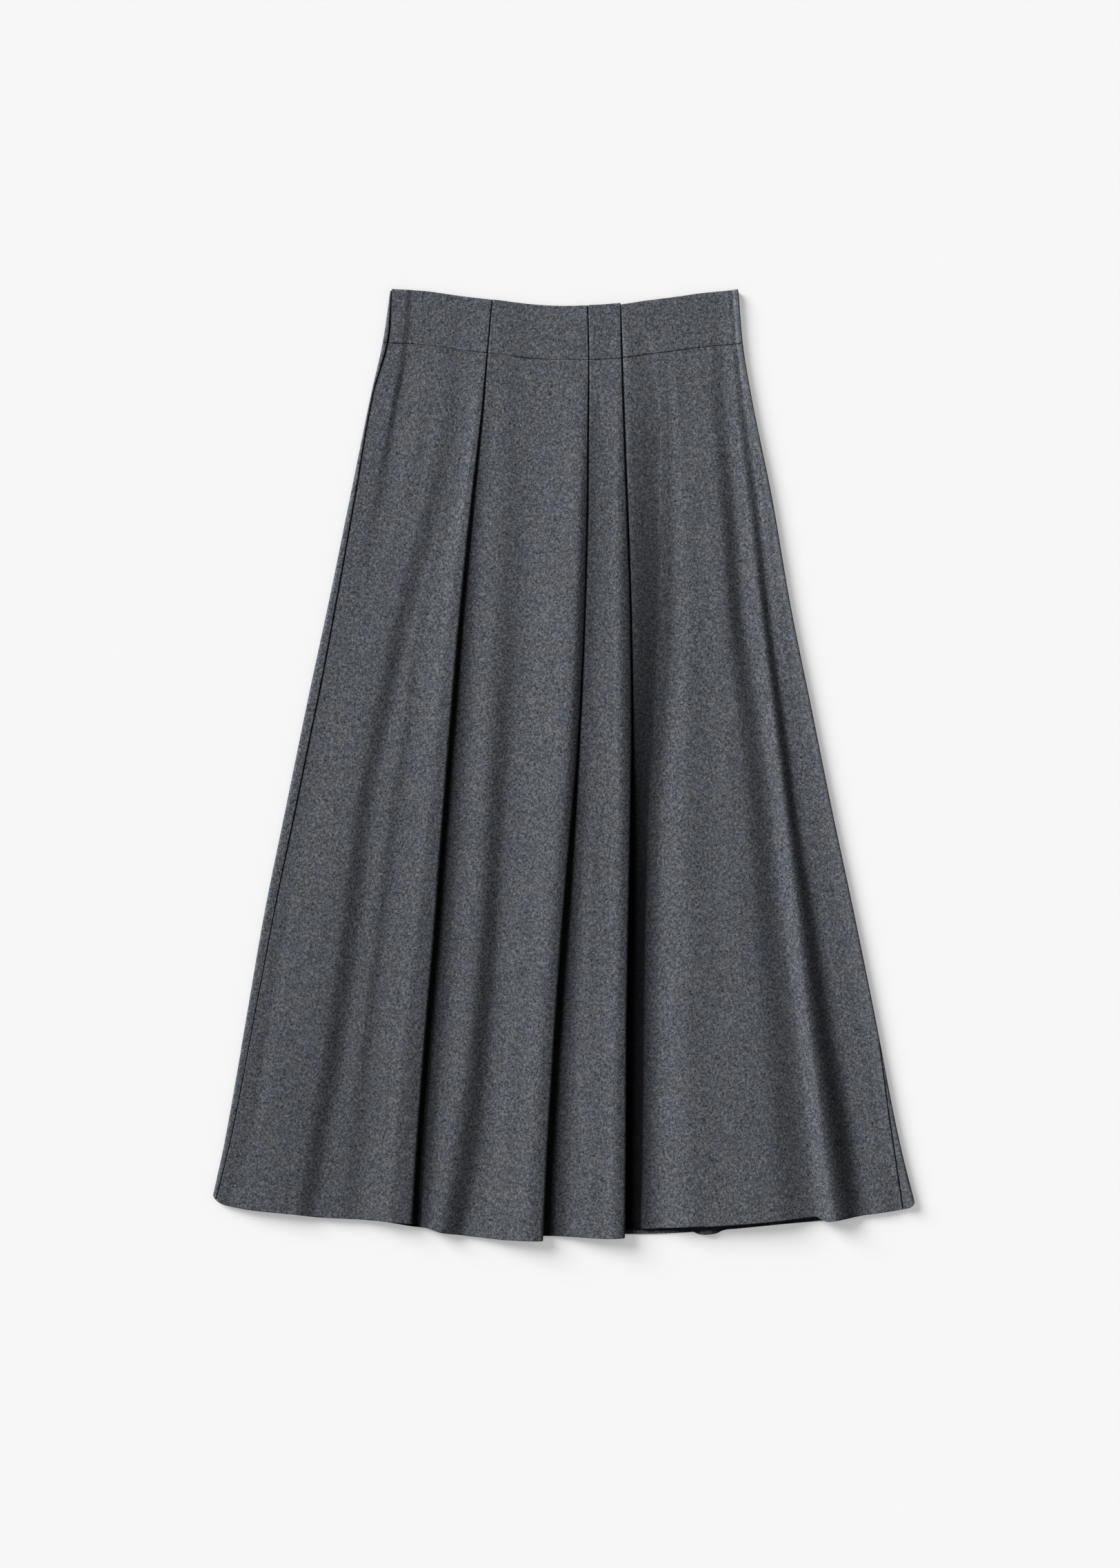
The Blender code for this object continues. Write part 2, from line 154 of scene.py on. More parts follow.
class Graph:
    """A material's node tree, built from expressions."""

    def __init__(self, name: str) -> None:
        """Start an empty material.

        Args:
            name: The material's name.
        """
        self.material = bpy.data.materials.new(name)
        self.material.use_nodes = True
        self.tree = self.material.node_tree
        self.tree.nodes.clear()

    def node(
        self,
        kind: str,
        settings: dict[str, Any] | None = None,
        inputs: dict[Any, Any] | None = None,
        output: str | int | None = 0,
    ) -> "Value | None":
        """Add a node.

        Args:
            kind: The node's type.
            settings: Its properties, set first.
            inputs: Its sockets' values or links.
            output: The output socket to hand back, or None for a node that ends the tree.

        Returns:
            The wrapped output.
        """
        made = self.tree.nodes.new(kind)
        for name, setting in (settings or {}).items():
            setattr(made, name, setting)
        for name, value in (inputs or {}).items():
            socket = find_socket(made.inputs, name)
            if isinstance(value, Value):
                self.tree.links.new(value.socket, socket)
            else:
                socket.default_value = value
        return None if output is None else Value(self, find_socket(made.outputs, output))

    def maths(self, operation: str, *values: "Value | float") -> Value:
        """Add one Math node for an operation on one or two values."""
        return self.node("ShaderNodeMath", {"operation": operation}, dict(enumerate(values)))

    def colours(self, share: "Value | float", first: Any, second: Any) -> Value:
        """Mix two colours.

        Args:
            share: How much of the second.
            first: A colour or a link.
            second: A colour or a link.

        Returns:
            The mixed colour.
        """
        inputs = {
            "Factor_Float": share,
            "A_Color": first if isinstance(first, Value) else (*first, 1),
            "B_Color": second if isinstance(second, Value) else (*second, 1),
        }
        return self.node("ShaderNodeMix", {"data_type": "RGBA"}, inputs, "Result_Color")

    def axis(self, where: Value, name: str) -> Value:
        """The part of a place along the axis of a given name."""
        return self.node("ShaderNodeSeparateXYZ", None, {"Vector": where}, name)

    def place(self, stretch: Sequence[float] = (1, 1, 1)) -> Value:
        """The place on the object in metres, stretched along its axes."""
        inputs = {0: self.node("ShaderNodeTexCoord", output="Object"), 1: tuple(stretch)}
        return self.node("ShaderNodeVectorMath", {"operation": "MULTIPLY"}, inputs)

    def noise(
        self, where: Value, size: float, detail: float = 2, rough: float = 0.5, bend: float = 0
    ) -> Value:
        """Cloudy noise between 0 and 1.

        Args:
            where: The place to read it at.
            size: The size of its clouds in millimetres.
            detail: How many finer layers it has.
            rough: How strong the finer layers are.
            bend: How far its clouds are curled.

        Returns:
            The noise.
        """
        inputs = {
            "Vector": where,
            "Scale": 1 / (size * MILLIMETRE),
            "Detail": detail,
            "Roughness": rough,
            "Distortion": bend,
        }
        return self.node("ShaderNodeTexNoise", None, inputs)

    def finish(
        self, shader: dict[str, Any], height: Value | None = None, depth: float = 0, strength: float = 1
    ) -> bpy.types.Material:
        """Close the material with a shader and its bump.

        Args:
            shader: Values and links of the shader's sockets.
            height: The bump's height from 0 to 1.
            depth: The height of 1 in millimetres.
            strength: The bump's strength.

        Returns:
            The material.
        """
        inputs = dict(shader)
        if height is not None:
            bump = {"Height": height, "Distance": depth * MILLIMETRE, "Strength": strength}
            inputs["Normal"] = self.node("ShaderNodeBump", None, bump)
        surface = self.node("ShaderNodeBsdfPrincipled", None, inputs)
        self.node("ShaderNodeOutputMaterial", None, {"Surface": surface}, None)
        return self.material


@dataclass(frozen=True)
class Flannel:
    """Felted wool flannel, spun from dyed fibres of several greys.

    Its patches, curls and grain are sizes in millimetres. Its three fades are places in
    metres, across the skirt or towards its waist, between which a painted shade ends.
    """

    blue: tuple[float, float, float] = (0.085, 0.097, 0.118)
    warm: tuple[float, float, float] = (0.094, 0.099, 0.109)
    light: tuple[float, float, float] = (0.228, 0.242, 0.268)
    light_warm: tuple[float, float, float] = (0.238, 0.246, 0.260)
    dark: tuple[float, float, float] = (0.012, 0.014, 0.019)
    # Near-black colour that the painted shade darkens the cloth towards
    shaded: tuple[float, float, float] = (0.003, 0.003, 0.004)
    patch: float = 17.0
    small_patch: float = 4.25
    patch_shares: tuple[float, float] = (0.7, 0.3)
    hue_step: tuple[float, float] = (0.40, 0.60)
    curl: float = 3.2
    crossed_curl: float = 2.56
    crossed_stretch: tuple[float, float, float] = (1.0, 1.6, 1.0)
    curl_sharpness: float = 9.0
    curl_shares: tuple[float, float] = (0.35, 0.35)
    grain: float = 1.6
    grain_step: tuple[float, float] = (0.40, 0.64)
    fleck: float = 2.0
    fleck_stretch: tuple[float, float, float] = (1.0, 0.8, 1.0)
    fleck_step: tuple[float, float] = (0.46, 0.66)
    light_share: float = 0.62
    nap: float = 0.5
    nap_strength: float = 0.55
    nap_shares: tuple[float, float, float] = (0.6, 0.6, 0.3)
    # Strength of the painted rim light along the outline
    painted_rim_strength: float = 1.2
    roughness: float = 0.95
    specular: float = 0.06
    sheen: float = 0.02
    sheen_roughness: float = 0.6
    # Strengths of the painted shade: in folds, towards the hem, and at the hem's zip-side corner
    inner_shade: float = 0.96
    below_shade: float = 0.11
    hem_side_shade: float = 0.13
    # Where the painted shade towards the zip side, the hem and the lower skirt fades out
    zip_side_fade: tuple[float, float] = (-0.22, 0.06)
    hem_fade: tuple[float, float] = (-0.36, 0.10)
    below_fade: tuple[float, float] = (-0.10, 0.42)

    def hue(self, graph: Graph, where: Value) -> Value:
        """Soft patches of warmer cloth.

        Args:
            graph: The material's nodes.
            where: The place on the cloth.

        Returns:
            0 where the cloth is bluer and 1 where it is warmer.
        """
        large, small = self.patch_shares
        patches = graph.noise(where, self.patch, detail=3, rough=0.62)
        small_patches = graph.noise(where, self.small_patch, detail=2, rough=0.6)
        return (patches * large + small_patches * small).step(*self.hue_step)

    def fibres(self, curls: Value) -> Value:
        """Thin curled lines along the middle of a noise."""
        return 1 - ((curls - 0.5).size() * self.curl_sharpness).held()

    def shade(self, graph: Graph, where: Value, inside: Value) -> Value:
        """How dark the cloth is painted: painted shade in its folds, and a painted fall-off of light
        towards the hem.

        Args:
            graph: The material's nodes.
            where: The place on the cloth.
            inside: The painted shade of folds, pleat mouths and seams at the point.

        Returns:
            The shade from 0 to 1.
        """
        towards_waist = graph.axis(where, "Y")
        towards_zip = 1 - graph.axis(where, "X").step(*self.zip_side_fade)
        towards_hem = 1 - towards_waist.step(*self.hem_fade)
        # Painted fall-off of light: darker towards the hem, most of all at its zip-side corner
        corner = towards_zip * towards_hem * self.hem_side_shade
        below = (1 - towards_waist.step(*self.below_fade)) * self.below_shade
        return 1 - (1 - inside.held() * self.inner_shade) * (1 - corner) * (1 - below)

    def make(self) -> bpy.types.Material:
        """Build the cloth's material.

        Returns:
            The material.
        """
        graph = Graph("wool_flannel")
        where = graph.place()
        hue = self.hue(graph, where)
        crossed_where = graph.place(self.crossed_stretch)
        fleck_where = graph.place(self.fleck_stretch)
        grain = graph.noise(where, self.grain, detail=3, rough=0.7, bend=0.6)
        light = self.fibres(graph.noise(where, self.curl, detail=2, rough=0.55, bend=1.6))
        dark = self.fibres(graph.noise(crossed_where, self.crossed_curl, detail=2, rough=0.5, bend=2.2))
        fleck = graph.noise(fleck_where, self.fleck, detail=2, rough=0.75, bend=0.8)
        light_curls, dark_curls = self.curl_shares
        dyed = graph.colours(hue, self.blue, self.warm)
        toned = graph.colours(grain.step(*self.grain_step), dyed, self.dark)
        with_dark = graph.colours(dark * dark_curls, toned, self.dark)
        lit = (light * light_curls + fleck.step(*self.fleck_step)).held()
        # Painted shade of folds, pleat mouths and seams, and painted rim light below 0, stored on the
        # cloth
        inside = graph.node("ShaderNodeAttribute", {"attribute_name": "inside"}, output="Fac")
        # Painted rim light along the outline, where the attribute is below 0
        painted_rim_light = (0 - inside).held() * self.painted_rim_strength
        bright = graph.colours(hue, self.light, self.light_warm)
        with_light = graph.colours((lit * self.light_share + painted_rim_light).held(), with_dark, bright)
        curls_high, grain_high, curls_low = self.nap_shares
        height = (light * curls_high + grain * grain_high - dark * curls_low).held()
        shader = {
            # The painted shade darkens the cloth towards its near-black shaded colour
            "Base Color": graph.colours(self.shade(graph, where, inside), with_light, self.shaded),
            "Roughness": self.roughness,
            "Specular IOR Level": self.specular,
            "Sheen Weight": self.sheen,
            "Sheen Roughness": self.sheen_roughness,
        }
        return graph.finish(shader, height, self.nap, self.nap_strength)


@dataclass(frozen=True)
class Weave:
    """A plain woven tape or thread in one colour."""

    name: str
    colour: tuple[float, float, float]
    rib: float = 0.5
    roughness: float = 0.8
    stretch: tuple[float, float] = (3.0, 0.8)
    rib_step: tuple[float, float] = (0.35, 0.65)
    low_share: float = 0.5
    depth: float = 0.12
    strength: float = 0.6

    def make(self) -> bpy.types.Material:
        """Build the weave's material.

        Returns:
            The material.
        """
        graph = Graph(self.name)
        long, short = self.stretch
        across = graph.noise(graph.place((long, short, long)), self.rib, detail=1)
        along = graph.noise(graph.place((short, long, short)), self.rib, detail=1)
        rib = ((across + along) * 0.5).step(*self.rib_step)
        dim = tuple(part * self.low_share for part in self.colour)
        shader = {
            "Base Color": graph.colours(rib, dim, self.colour),
            "Roughness": self.roughness,
        }
        return graph.finish(shader, rib, self.depth, self.strength)


@dataclass(frozen=True)
class Gunmetal:
    """Dark plated metal, worn on its edges."""

    colour: tuple[float, float, float] = (0.10, 0.10, 0.11)
    worn: float = 2.4
    patch: float = 1.2
    wear_step: tuple[float, float] = (0.5, 0.8)
    least_roughness: float = 0.25
    more_roughness: float = 0.3
    depth: float = 0.03
    strength: float = 0.4

    def make(self) -> bpy.types.Material:
        """Build the metal's material.

        Returns:
            The material.
        """
        graph = Graph("gunmetal")
        wear = graph.noise(graph.place(), self.patch, detail=4, rough=0.6)
        bright = tuple(part * self.worn for part in self.colour)
        shader = {
            "Base Color": graph.colours(wear.step(*self.wear_step), self.colour, bright),
            "Roughness": wear * self.more_roughness + self.least_roughness,
            "Metallic": 1.0,
        }
        return graph.finish(shader, wear, self.depth, self.strength)


@dataclass(frozen=True)
class PaleGround:
    """The pale table, lit partly from below so that its shadows stay light."""

    share: float = 0.456
    glow: float = 0.226

    def make(self) -> bpy.types.Material:
        """Build the ground's material.

        Returns:
            The material.
        """
        graph = Graph("pale_ground")
        shader = {
            "Base Color": (self.share, self.share, self.share, 1),
            "Roughness": 1.0,
            "Specular IOR Level": 0.0,
            "Emission Color": (1, 1, 1, 1),
            "Emission Strength": self.glow,
        }
        return graph.finish(shader)


class SoftCurve:
    """A smooth curve through stops that never swings past them."""

    def __init__(
        self, stops: Sequence[float], values: Any, ends: tuple[float, float] | None = None
    ) -> None:
        """Fit the curve.

        Args:
            stops: Rising places.
            values: One value, or one row of values, at each stop.
            ends: The curve's slopes at its two ends, if they are given.
        """
        self.stops = np.asarray(stops, float)
        self.values = np.asarray(values, float)
        slopes = np.diff(self.values) / np.diff(self.stops)
        product = slopes[:-1] * slopes[1:]
        total = np.where(product > 0, slopes[:-1] + slopes[1:], 1.0)
        inner = np.where(product > 0, 2 * product / total, 0.0)
        first, last = ends or (slopes[0], slopes[-1])
        self.tangents = np.concatenate([[first], inner, [last]])

    def at(self, places: Any) -> Any:
        """Values of the curve at places.

        Args:
            places: One place or an array of them.

        Returns:
            The value or values there.
        """
        held = np.clip(places, self.stops[0], self.stops[-1])
        index = np.clip(np.searchsorted(self.stops, held, side="right") - 1, 0, len(self.stops) - 2)
        step = self.stops[index + 1] - self.stops[index]
        share = (held - self.stops[index]) / step
        start = (1 + 2 * share) * (1 - share) ** 2 * self.values[index]
        start = start + share * (1 - share) ** 2 * step * self.tangents[index]
        end = share**2 * (3 - 2 * share) * self.values[index + 1]
        end = end - share**2 * (1 - share) * step * self.tangents[index + 1]
        return start + end


# Distances from the waist's top edge at which the tables below have their columns
DOWN = (0, 50, 100, 200, 300, 400, 500, 600, 700, 800, 880)


def value_at(row: Sequence[float], down: float) -> float:
    """Value of one row of a table at a distance down."""
    return float(SoftCurve(DOWN, row).at(down))


@dataclass(frozen=True)
class Line:
    """One line that runs down the cloth: the crest or the foot of a fold.

    Its offsets from the centre line and its levels are given at the distances in DOWN.
    """

    offsets: tuple[float, ...]
    levels: tuple[float, ...]
    hem: float
    top: float = 0.0

    def knot(self, down: float) -> tuple[float, float, float, float]:
        """Offset, level, hem and top of the line at a distance down."""
        return value_at(self.offsets, down), value_at(self.levels, down), self.hem, self.top


@dataclass(frozen=True)
class Pleat:
    """A knife pleat: its edge, what is folded under it and how the next panel starts.

    Each table has a value for each distance in DOWN. The lip is how far the edge lies below
    the crest, and the slope is how wide the fall to it is. What shows of the cloth under
    the edge runs over a hump down to the sink, and rolls up to the start of the next panel.
    The shade is the painted shade of the cloth in the pleat's mouth, and the reach is how far
    that painted shadow fades out over the next panel.
    """

    edge: tuple[float, ...]
    crest: tuple[float, ...]
    lip: tuple[float, ...]
    slope: tuple[float, ...]
    shows: tuple[float, ...]
    roll: tuple[float, ...]
    start: tuple[float, ...]
    hump: tuple[float, ...]
    hump_place: float
    depth: tuple[float, ...]
    shade: tuple[float, ...]
    reach: tuple[float, ...]
    hem: float
    next_hem: float
    top: float = 0.0
    next_top: float = 0.0
    sink: tuple[float, ...] = (0.0,) * len(DOWN)


PLEAT_A = Pleat(
    edge=(-67, -71.5, -76, -87, -97, -105.5, -113.5, -121, -129.5, -137, -142),
    crest=(4.3, 4.5, 5.0, 6.9, 8.0, 8.8, 9.6, 10.2, 10.6, 10.8, 10.8),
    lip=(0.0, 0.0, 0.1, 0.2, 0.3, 0.5, 0.8, 1.2, 1.6, 1.9, 2.0),
    slope=(2.0, 2.5, 3.0, 4.0, 6.0, 8.0, 10.0, 12.0, 14.0, 16.0, 17.0),
    shows=(0.2, 0.2, 0.7, 2.0, 3.2, 4.4, 5.4, 6.0, 6.4, 6.8, 7.0),
    roll=(1.0, 1.2, 3.0, 4.5, 5.0, 5.0, 5.0, 5.0, 5.0, 5.0, 5.0),
    start=(4.1, 4.0, 3.7, 3.3, 3.0, 2.9, 2.9, 2.9, 2.9, 2.9, 2.9),
    hump=(1.6, 1.6, 2.2, 2.6, 2.6, 2.6, 2.6, 2.6, 2.6, 2.6, 2.6),
    hump_place=0.4,
    depth=(7.0, 6.5, 6.0, 6.5, 13.0, 19.0, 25.0, 30.0, 34.0, 37.0, 38.0),
    shade=(0.1, 0.1, 0.3, 0.5, 0.7, 0.8, 0.8, 0.8, 0.8, 0.8, 0.8),
    reach=(3.0, 3.0, 5.0, 10.0, 14.0, 18.0, 22.0, 24.0, 25.0, 26.0, 26.0),
    hem=870,
    next_hem=873,
    top=0.0,
    next_top=0.3,
)
PLEAT_B = Pleat(
    edge=(23, 24, 23.5, 22.3, 19.5, 14.5, 6.2, -2, -9, -15, -19),
    crest=(4.3, 4.4, 5.8, 9.0, 10.6, 11.4, 11.8, 11.8, 12.0, 12.2, 12.4),
    lip=(0.0, 0.0, 0.6, 2.4, 3.4, 3.2, 2.2, 1.4, 1.4, 1.4, 1.4),
    slope=(2.0, 2.5, 4.0, 6.5, 7.5, 7.5, 7.0, 7.0, 8.0, 9.0, 9.0),
    shows=(0.2, 0.2, 0.2, 0.1, 0.1, 0.6, 4.0, 6.5, 6.5, 8.3, 10.4),
    roll=(1.0, 1.2, 2.0, 3.0, 4.0, 4.5, 6.0, 6.0, 6.0, 6.0, 6.0),
    start=(4.1, 4.1, 4.6, 5.5, 6.2, 6.1, 4.6, 3.2, 2.9, 2.9, 2.9),
    hump=(1.6, 1.6, 2.2, 2.6, 2.6, 2.6, 2.6, 2.6, 2.6, 2.6, 2.6),
    hump_place=0.4,
    depth=(8.0, 8.0, 9.0, 15.0, 21.0, 26.0, 30.0, 32.0, 34.0, 36.0, 38.0),
    shade=(0.0, 0.0, 0.5, 0.8, 0.7, 0.6, 0.75, 0.75, 0.75, 0.75, 0.75),
    reach=(3.0, 3.0, 12.0, 22.0, 24.0, 25.0, 26.0, 26.0, 26.0, 26.0, 26.0),
    hem=880,
    next_hem=876,
    top=0.3,
    next_top=0.8,
)
PLEAT_C = Pleat(
    edge=(54, 55, 56.5, 60, 63.3, 64.3, 63, 61, 59.5, 59, 58),
    crest=(4.3, 4.6, 5.6, 8.4, 10.4, 11.8, 12.6, 12.8, 13.0, 13.2, 13.2),
    lip=(0.0, 0.0, 0.3, 1.8, 3.0, 3.0, 2.1, 1.5, 1.4, 1.4, 1.4),
    slope=(2.0, 2.5, 3.5, 6.5, 8.5, 8.5, 7.0, 6.5, 7.0, 7.0, 7.0),
    shows=(8.0, 30.0, 34.0, 31.0, 28.0, 21.5, 16.0, 15.5, 15.5, 15.0, 14.5),
    roll=(4.0, 5.0, 6.0, 7.0, 7.0, 5.5, 4.5, 4.0, 4.0, 4.0, 4.0),
    start=(4.1, 3.4, 3.0, 3.0, 2.9, 2.9, 2.9, 2.9, 2.9, 2.9, 2.9),
    sink=(4.0, 3.0, 2.4, 2.2, 0.0, 0.0, 0.0, 0.0, 0.0, 0.0, 0.0),
    hump=(4.1, 4.3, 4.7, 5.6, 5.7, 4.8, 3.0, 2.6, 2.6, 2.6, 2.6),
    hump_place=0.08,
    depth=(6.0, 6.0, 8.0, 15.0, 19.0, 22.0, 24.0, 26.0, 28.0, 30.0, 30.0),
    shade=(0.0, 0.03, 0.18, 0.42, 0.62, 0.78, 0.93, 1.0, 1.0, 1.0, 1.0),
    reach=(12.0, 16.0, 24.0, 24.0, 22.0, 18.0, 14.0, 13.0, 13.0, 13.0, 13.0),
    hem=878,
    next_hem=871,
    top=1.3,
    next_top=0.0,
)

# Crests, feet and dips of the front's soft folds, from the zip side
LEFT_CREST = Line(
    offsets=(-109, -111, -115, -135, -160, -181, -200, -212, -225, -241, -254),
    levels=(3.6, 3.8, 4.4, 5.8, 6.6, 8.0, 9.5, 10.1, 10.1, 9.5, 8.9),
    hem=874,
)
LEFT_FOOT = Line(
    offsets=(-95, -96, -98, -114, -141, -162, -180, -190, -203, -219, -233),
    levels=(3.2, 3.2, 3.1, 3.0, 3.3, 4.2, 5.0, 5.2, 5.0, 4.6, 4.2),
    hem=874,
)
SECOND_CREST = Line(
    offsets=(-92, -93, -94, -110, -136, -149, -166, -177, -189, -202, -209),
    levels=(3.3, 3.3, 3.2, 3.1, 3.8, 5.1, 6.2, 6.3, 6.1, 5.6, 5.1),
    hem=872,
)
SECOND_FOOT = Line(
    offsets=(-89, -90, -91, -106, -130, -142, -155, -167, -178, -188, -194),
    levels=(3.4, 3.4, 3.3, 3.2, 3.9, 4.6, 5.1, 5.1, 4.9, 4.6, 4.4),
    hem=871,
)
MIDDLE_CREST = Line(
    offsets=(-46, -50, -54, -59, -64, -69, -75, -81, -90, -103, -115),
    levels=(3.6, 3.6, 3.9, 4.8, 6.0, 7.2, 8.2, 9.1, 9.8, 10.4, 10.4),
    hem=876,
)
MIDDLE_FOOT = Line(
    offsets=(-34, -34, -34, -36, -40, -47, -54, -60, -67, -77, -92),
    levels=(2.9, 2.9, 3.0, 3.0, 2.9, 2.8, 2.7, 2.6, 2.6, 2.6, 2.6),
    hem=878,
)
STRIP_DIP = Line(
    offsets=(38, 38, 38, 38, 38, 35, 30, 27, 24, 23, 22),
    levels=(3.9, 3.9, 4.8, 7.0, 8.0, 8.4, 8.6, 8.6, 8.6, 8.6, 8.6),
    hem=877,
    top=1.0,
)
VALLEY = Line(
    offsets=(88,) * len(DOWN),
    levels=(4.0, 3.5, 2.9, 2.9, 2.9, 2.9, 2.9, 2.9, 2.9, 2.9, 2.9),
    hem=871,
)
RIGHT_RISE = Line(
    offsets=(100, 104, 110, 117, 120, 119, 119, 121, 122, 123, 124),
    levels=(3.8, 3.8, 4.6, 6.4, 7.8, 8.6, 9.2, 9.6, 9.8, 9.8, 9.8),
    hem=871,
)
RIGHT_DIP = Line(
    offsets=(110, 114, 120, 127, 131, 131, 131, 134, 136, 137, 138),
    levels=(3.7, 3.9, 4.6, 6.5, 7.8, 8.6, 9.2, 9.5, 9.6, 9.6, 9.6),
    hem=872,
)
RIGHT_CREST = Line(
    offsets=(134, 136, 138, 146, 152, 162, 171, 178, 186, 193, 199),
    levels=(3.8, 4.3, 5.4, 8.0, 9.6, 10.6, 11.4, 11.8, 12.0, 12.0, 12.0),
    hem=873,
)
RIGHT_FOOT = Line(
    offsets=(146, 150, 153, 163, 170, 185, 197, 207, 220, 230, 238),
    levels=(3.2, 3.2, 3.1, 3.0, 3.2, 4.0, 4.5, 4.7, 4.6, 4.3, 4.3),
    hem=874,
)
RIDGE_CREST = Line(
    offsets=(157, 160, 164, 175, 186, 198, 210, 222, 233, 246, 256),
    levels=(4.4, 4.7, 5.2, 6.4, 7.6, 9.2, 10.8, 12.0, 12.9, 13.4, 13.3),
    hem=880,
)
RIDGE_FOOT = Line(
    offsets=(160, 164, 170, 184, 195, 209, 223, 240, 256, 273, 284),
    levels=(4.4, 4.5, 4.1, 3.5, 3.0, 2.7, 2.6, 2.6, 2.6, 2.6, 2.6),
    hem=880,
)


@dataclass(frozen=True)
class Crease:
    """A soft trough or ridge in the cloth, from one place to another.

    It is highest halfway, where it has its full height, or deepest where that is below 0.
    """

    first_down: float
    last_down: float
    first_offset: float
    last_offset: float
    width: float
    height: float
    blunt: float = 0.8

    def rise(self, offsets: np.ndarray, down: float) -> np.ndarray:
        """Heights that the crease adds at offsets.

        Args:
            offsets: Offsets from the centre line.
            down: Distance from the waist's top edge.

        Returns:
            One height for each offset.
        """
        share = (down - self.first_down) / (self.last_down - self.first_down)
        if not 0 < share < 1:
            return np.zeros_like(offsets)
        middle = self.first_offset + share * (self.last_offset - self.first_offset)
        swell = math.sin(math.pi * share) ** self.blunt
        return self.height * swell * np.exp(-(((offsets - middle) / self.width) ** 2))


def crease_rise(creases: dict[str, Crease], offsets: np.ndarray, down: float) -> np.ndarray:
    """Heights that several creases add at offsets."""
    rises = (crease.rise(offsets, down) for crease in creases.values())
    return sum(rises, np.zeros(len(offsets)))


@dataclass(frozen=True)
class Unevenness:
    """Small irregular waves all over soft cloth, from one draw of the noise."""

    across: float
    along: float
    height: float
    draw: float

    def rise(self, offset: float, down: float) -> float:
        """Height at one place."""
        return self.height * noise.noise(Vector((offset / self.across, down / self.along, self.draw)))


FRONT_CREASES = {
    "side pull": Crease(60, 210, -128, -150, 7, 0.5),
    "right band dent": Crease(-60, 170, 136, 133, 5, -0.35),
    "hip dent": Crease(90, 320, -118, -168, 9, -0.6),
    "left drape": Crease(260, 620, -232, -262, 12, 0.7),
    "left hem dent": Crease(560, 900, -276, -300, 11, -0.8),
    "pleat sag": Crease(120, 520, -2, -22, 10, 0.6),
    "middle pull": Crease(55, 170, -40, -46, 6, -0.35),
    "middle hem lift": Crease(600, 960, -42, -66, 9, 0.7),
    "strip dent": Crease(300, 700, 36, 30, 6, -0.4),
    "right hip pull": Crease(70, 240, 132, 122, 8, 0.6),
    "right sag": Crease(330, 720, 140, 150, 12, -0.6),
    "right hem lift": Crease(620, 960, 106, 112, 10, 0.6),
    "side sag": Crease(520, 860, 262, 300, 10, -0.7),
    "side lift": Crease(600, 960, 282, 306, 8, 0.6),
}
BACK_CREASES = {
    "seat drape": Crease(180, 700, -200, -262, 12, 1.4),
    "seat dent": Crease(300, 840, -92, -118, 10, 1.0),
    "middle drape": Crease(240, 930, -50, -92, 11, 1.5),
    "centre lift": Crease(420, 960, 36, 22, 10, 1.1),
    "right drape": Crease(200, 960, 128, 168, 12, 1.6),
    "right side lift": Crease(380, 960, 214, 262, 10, 1.2),
}
UNEVENNESS = (Unevenness(42, 75, 0.35, 3.1), Unevenness(15, 26, 0.09, 8.7))


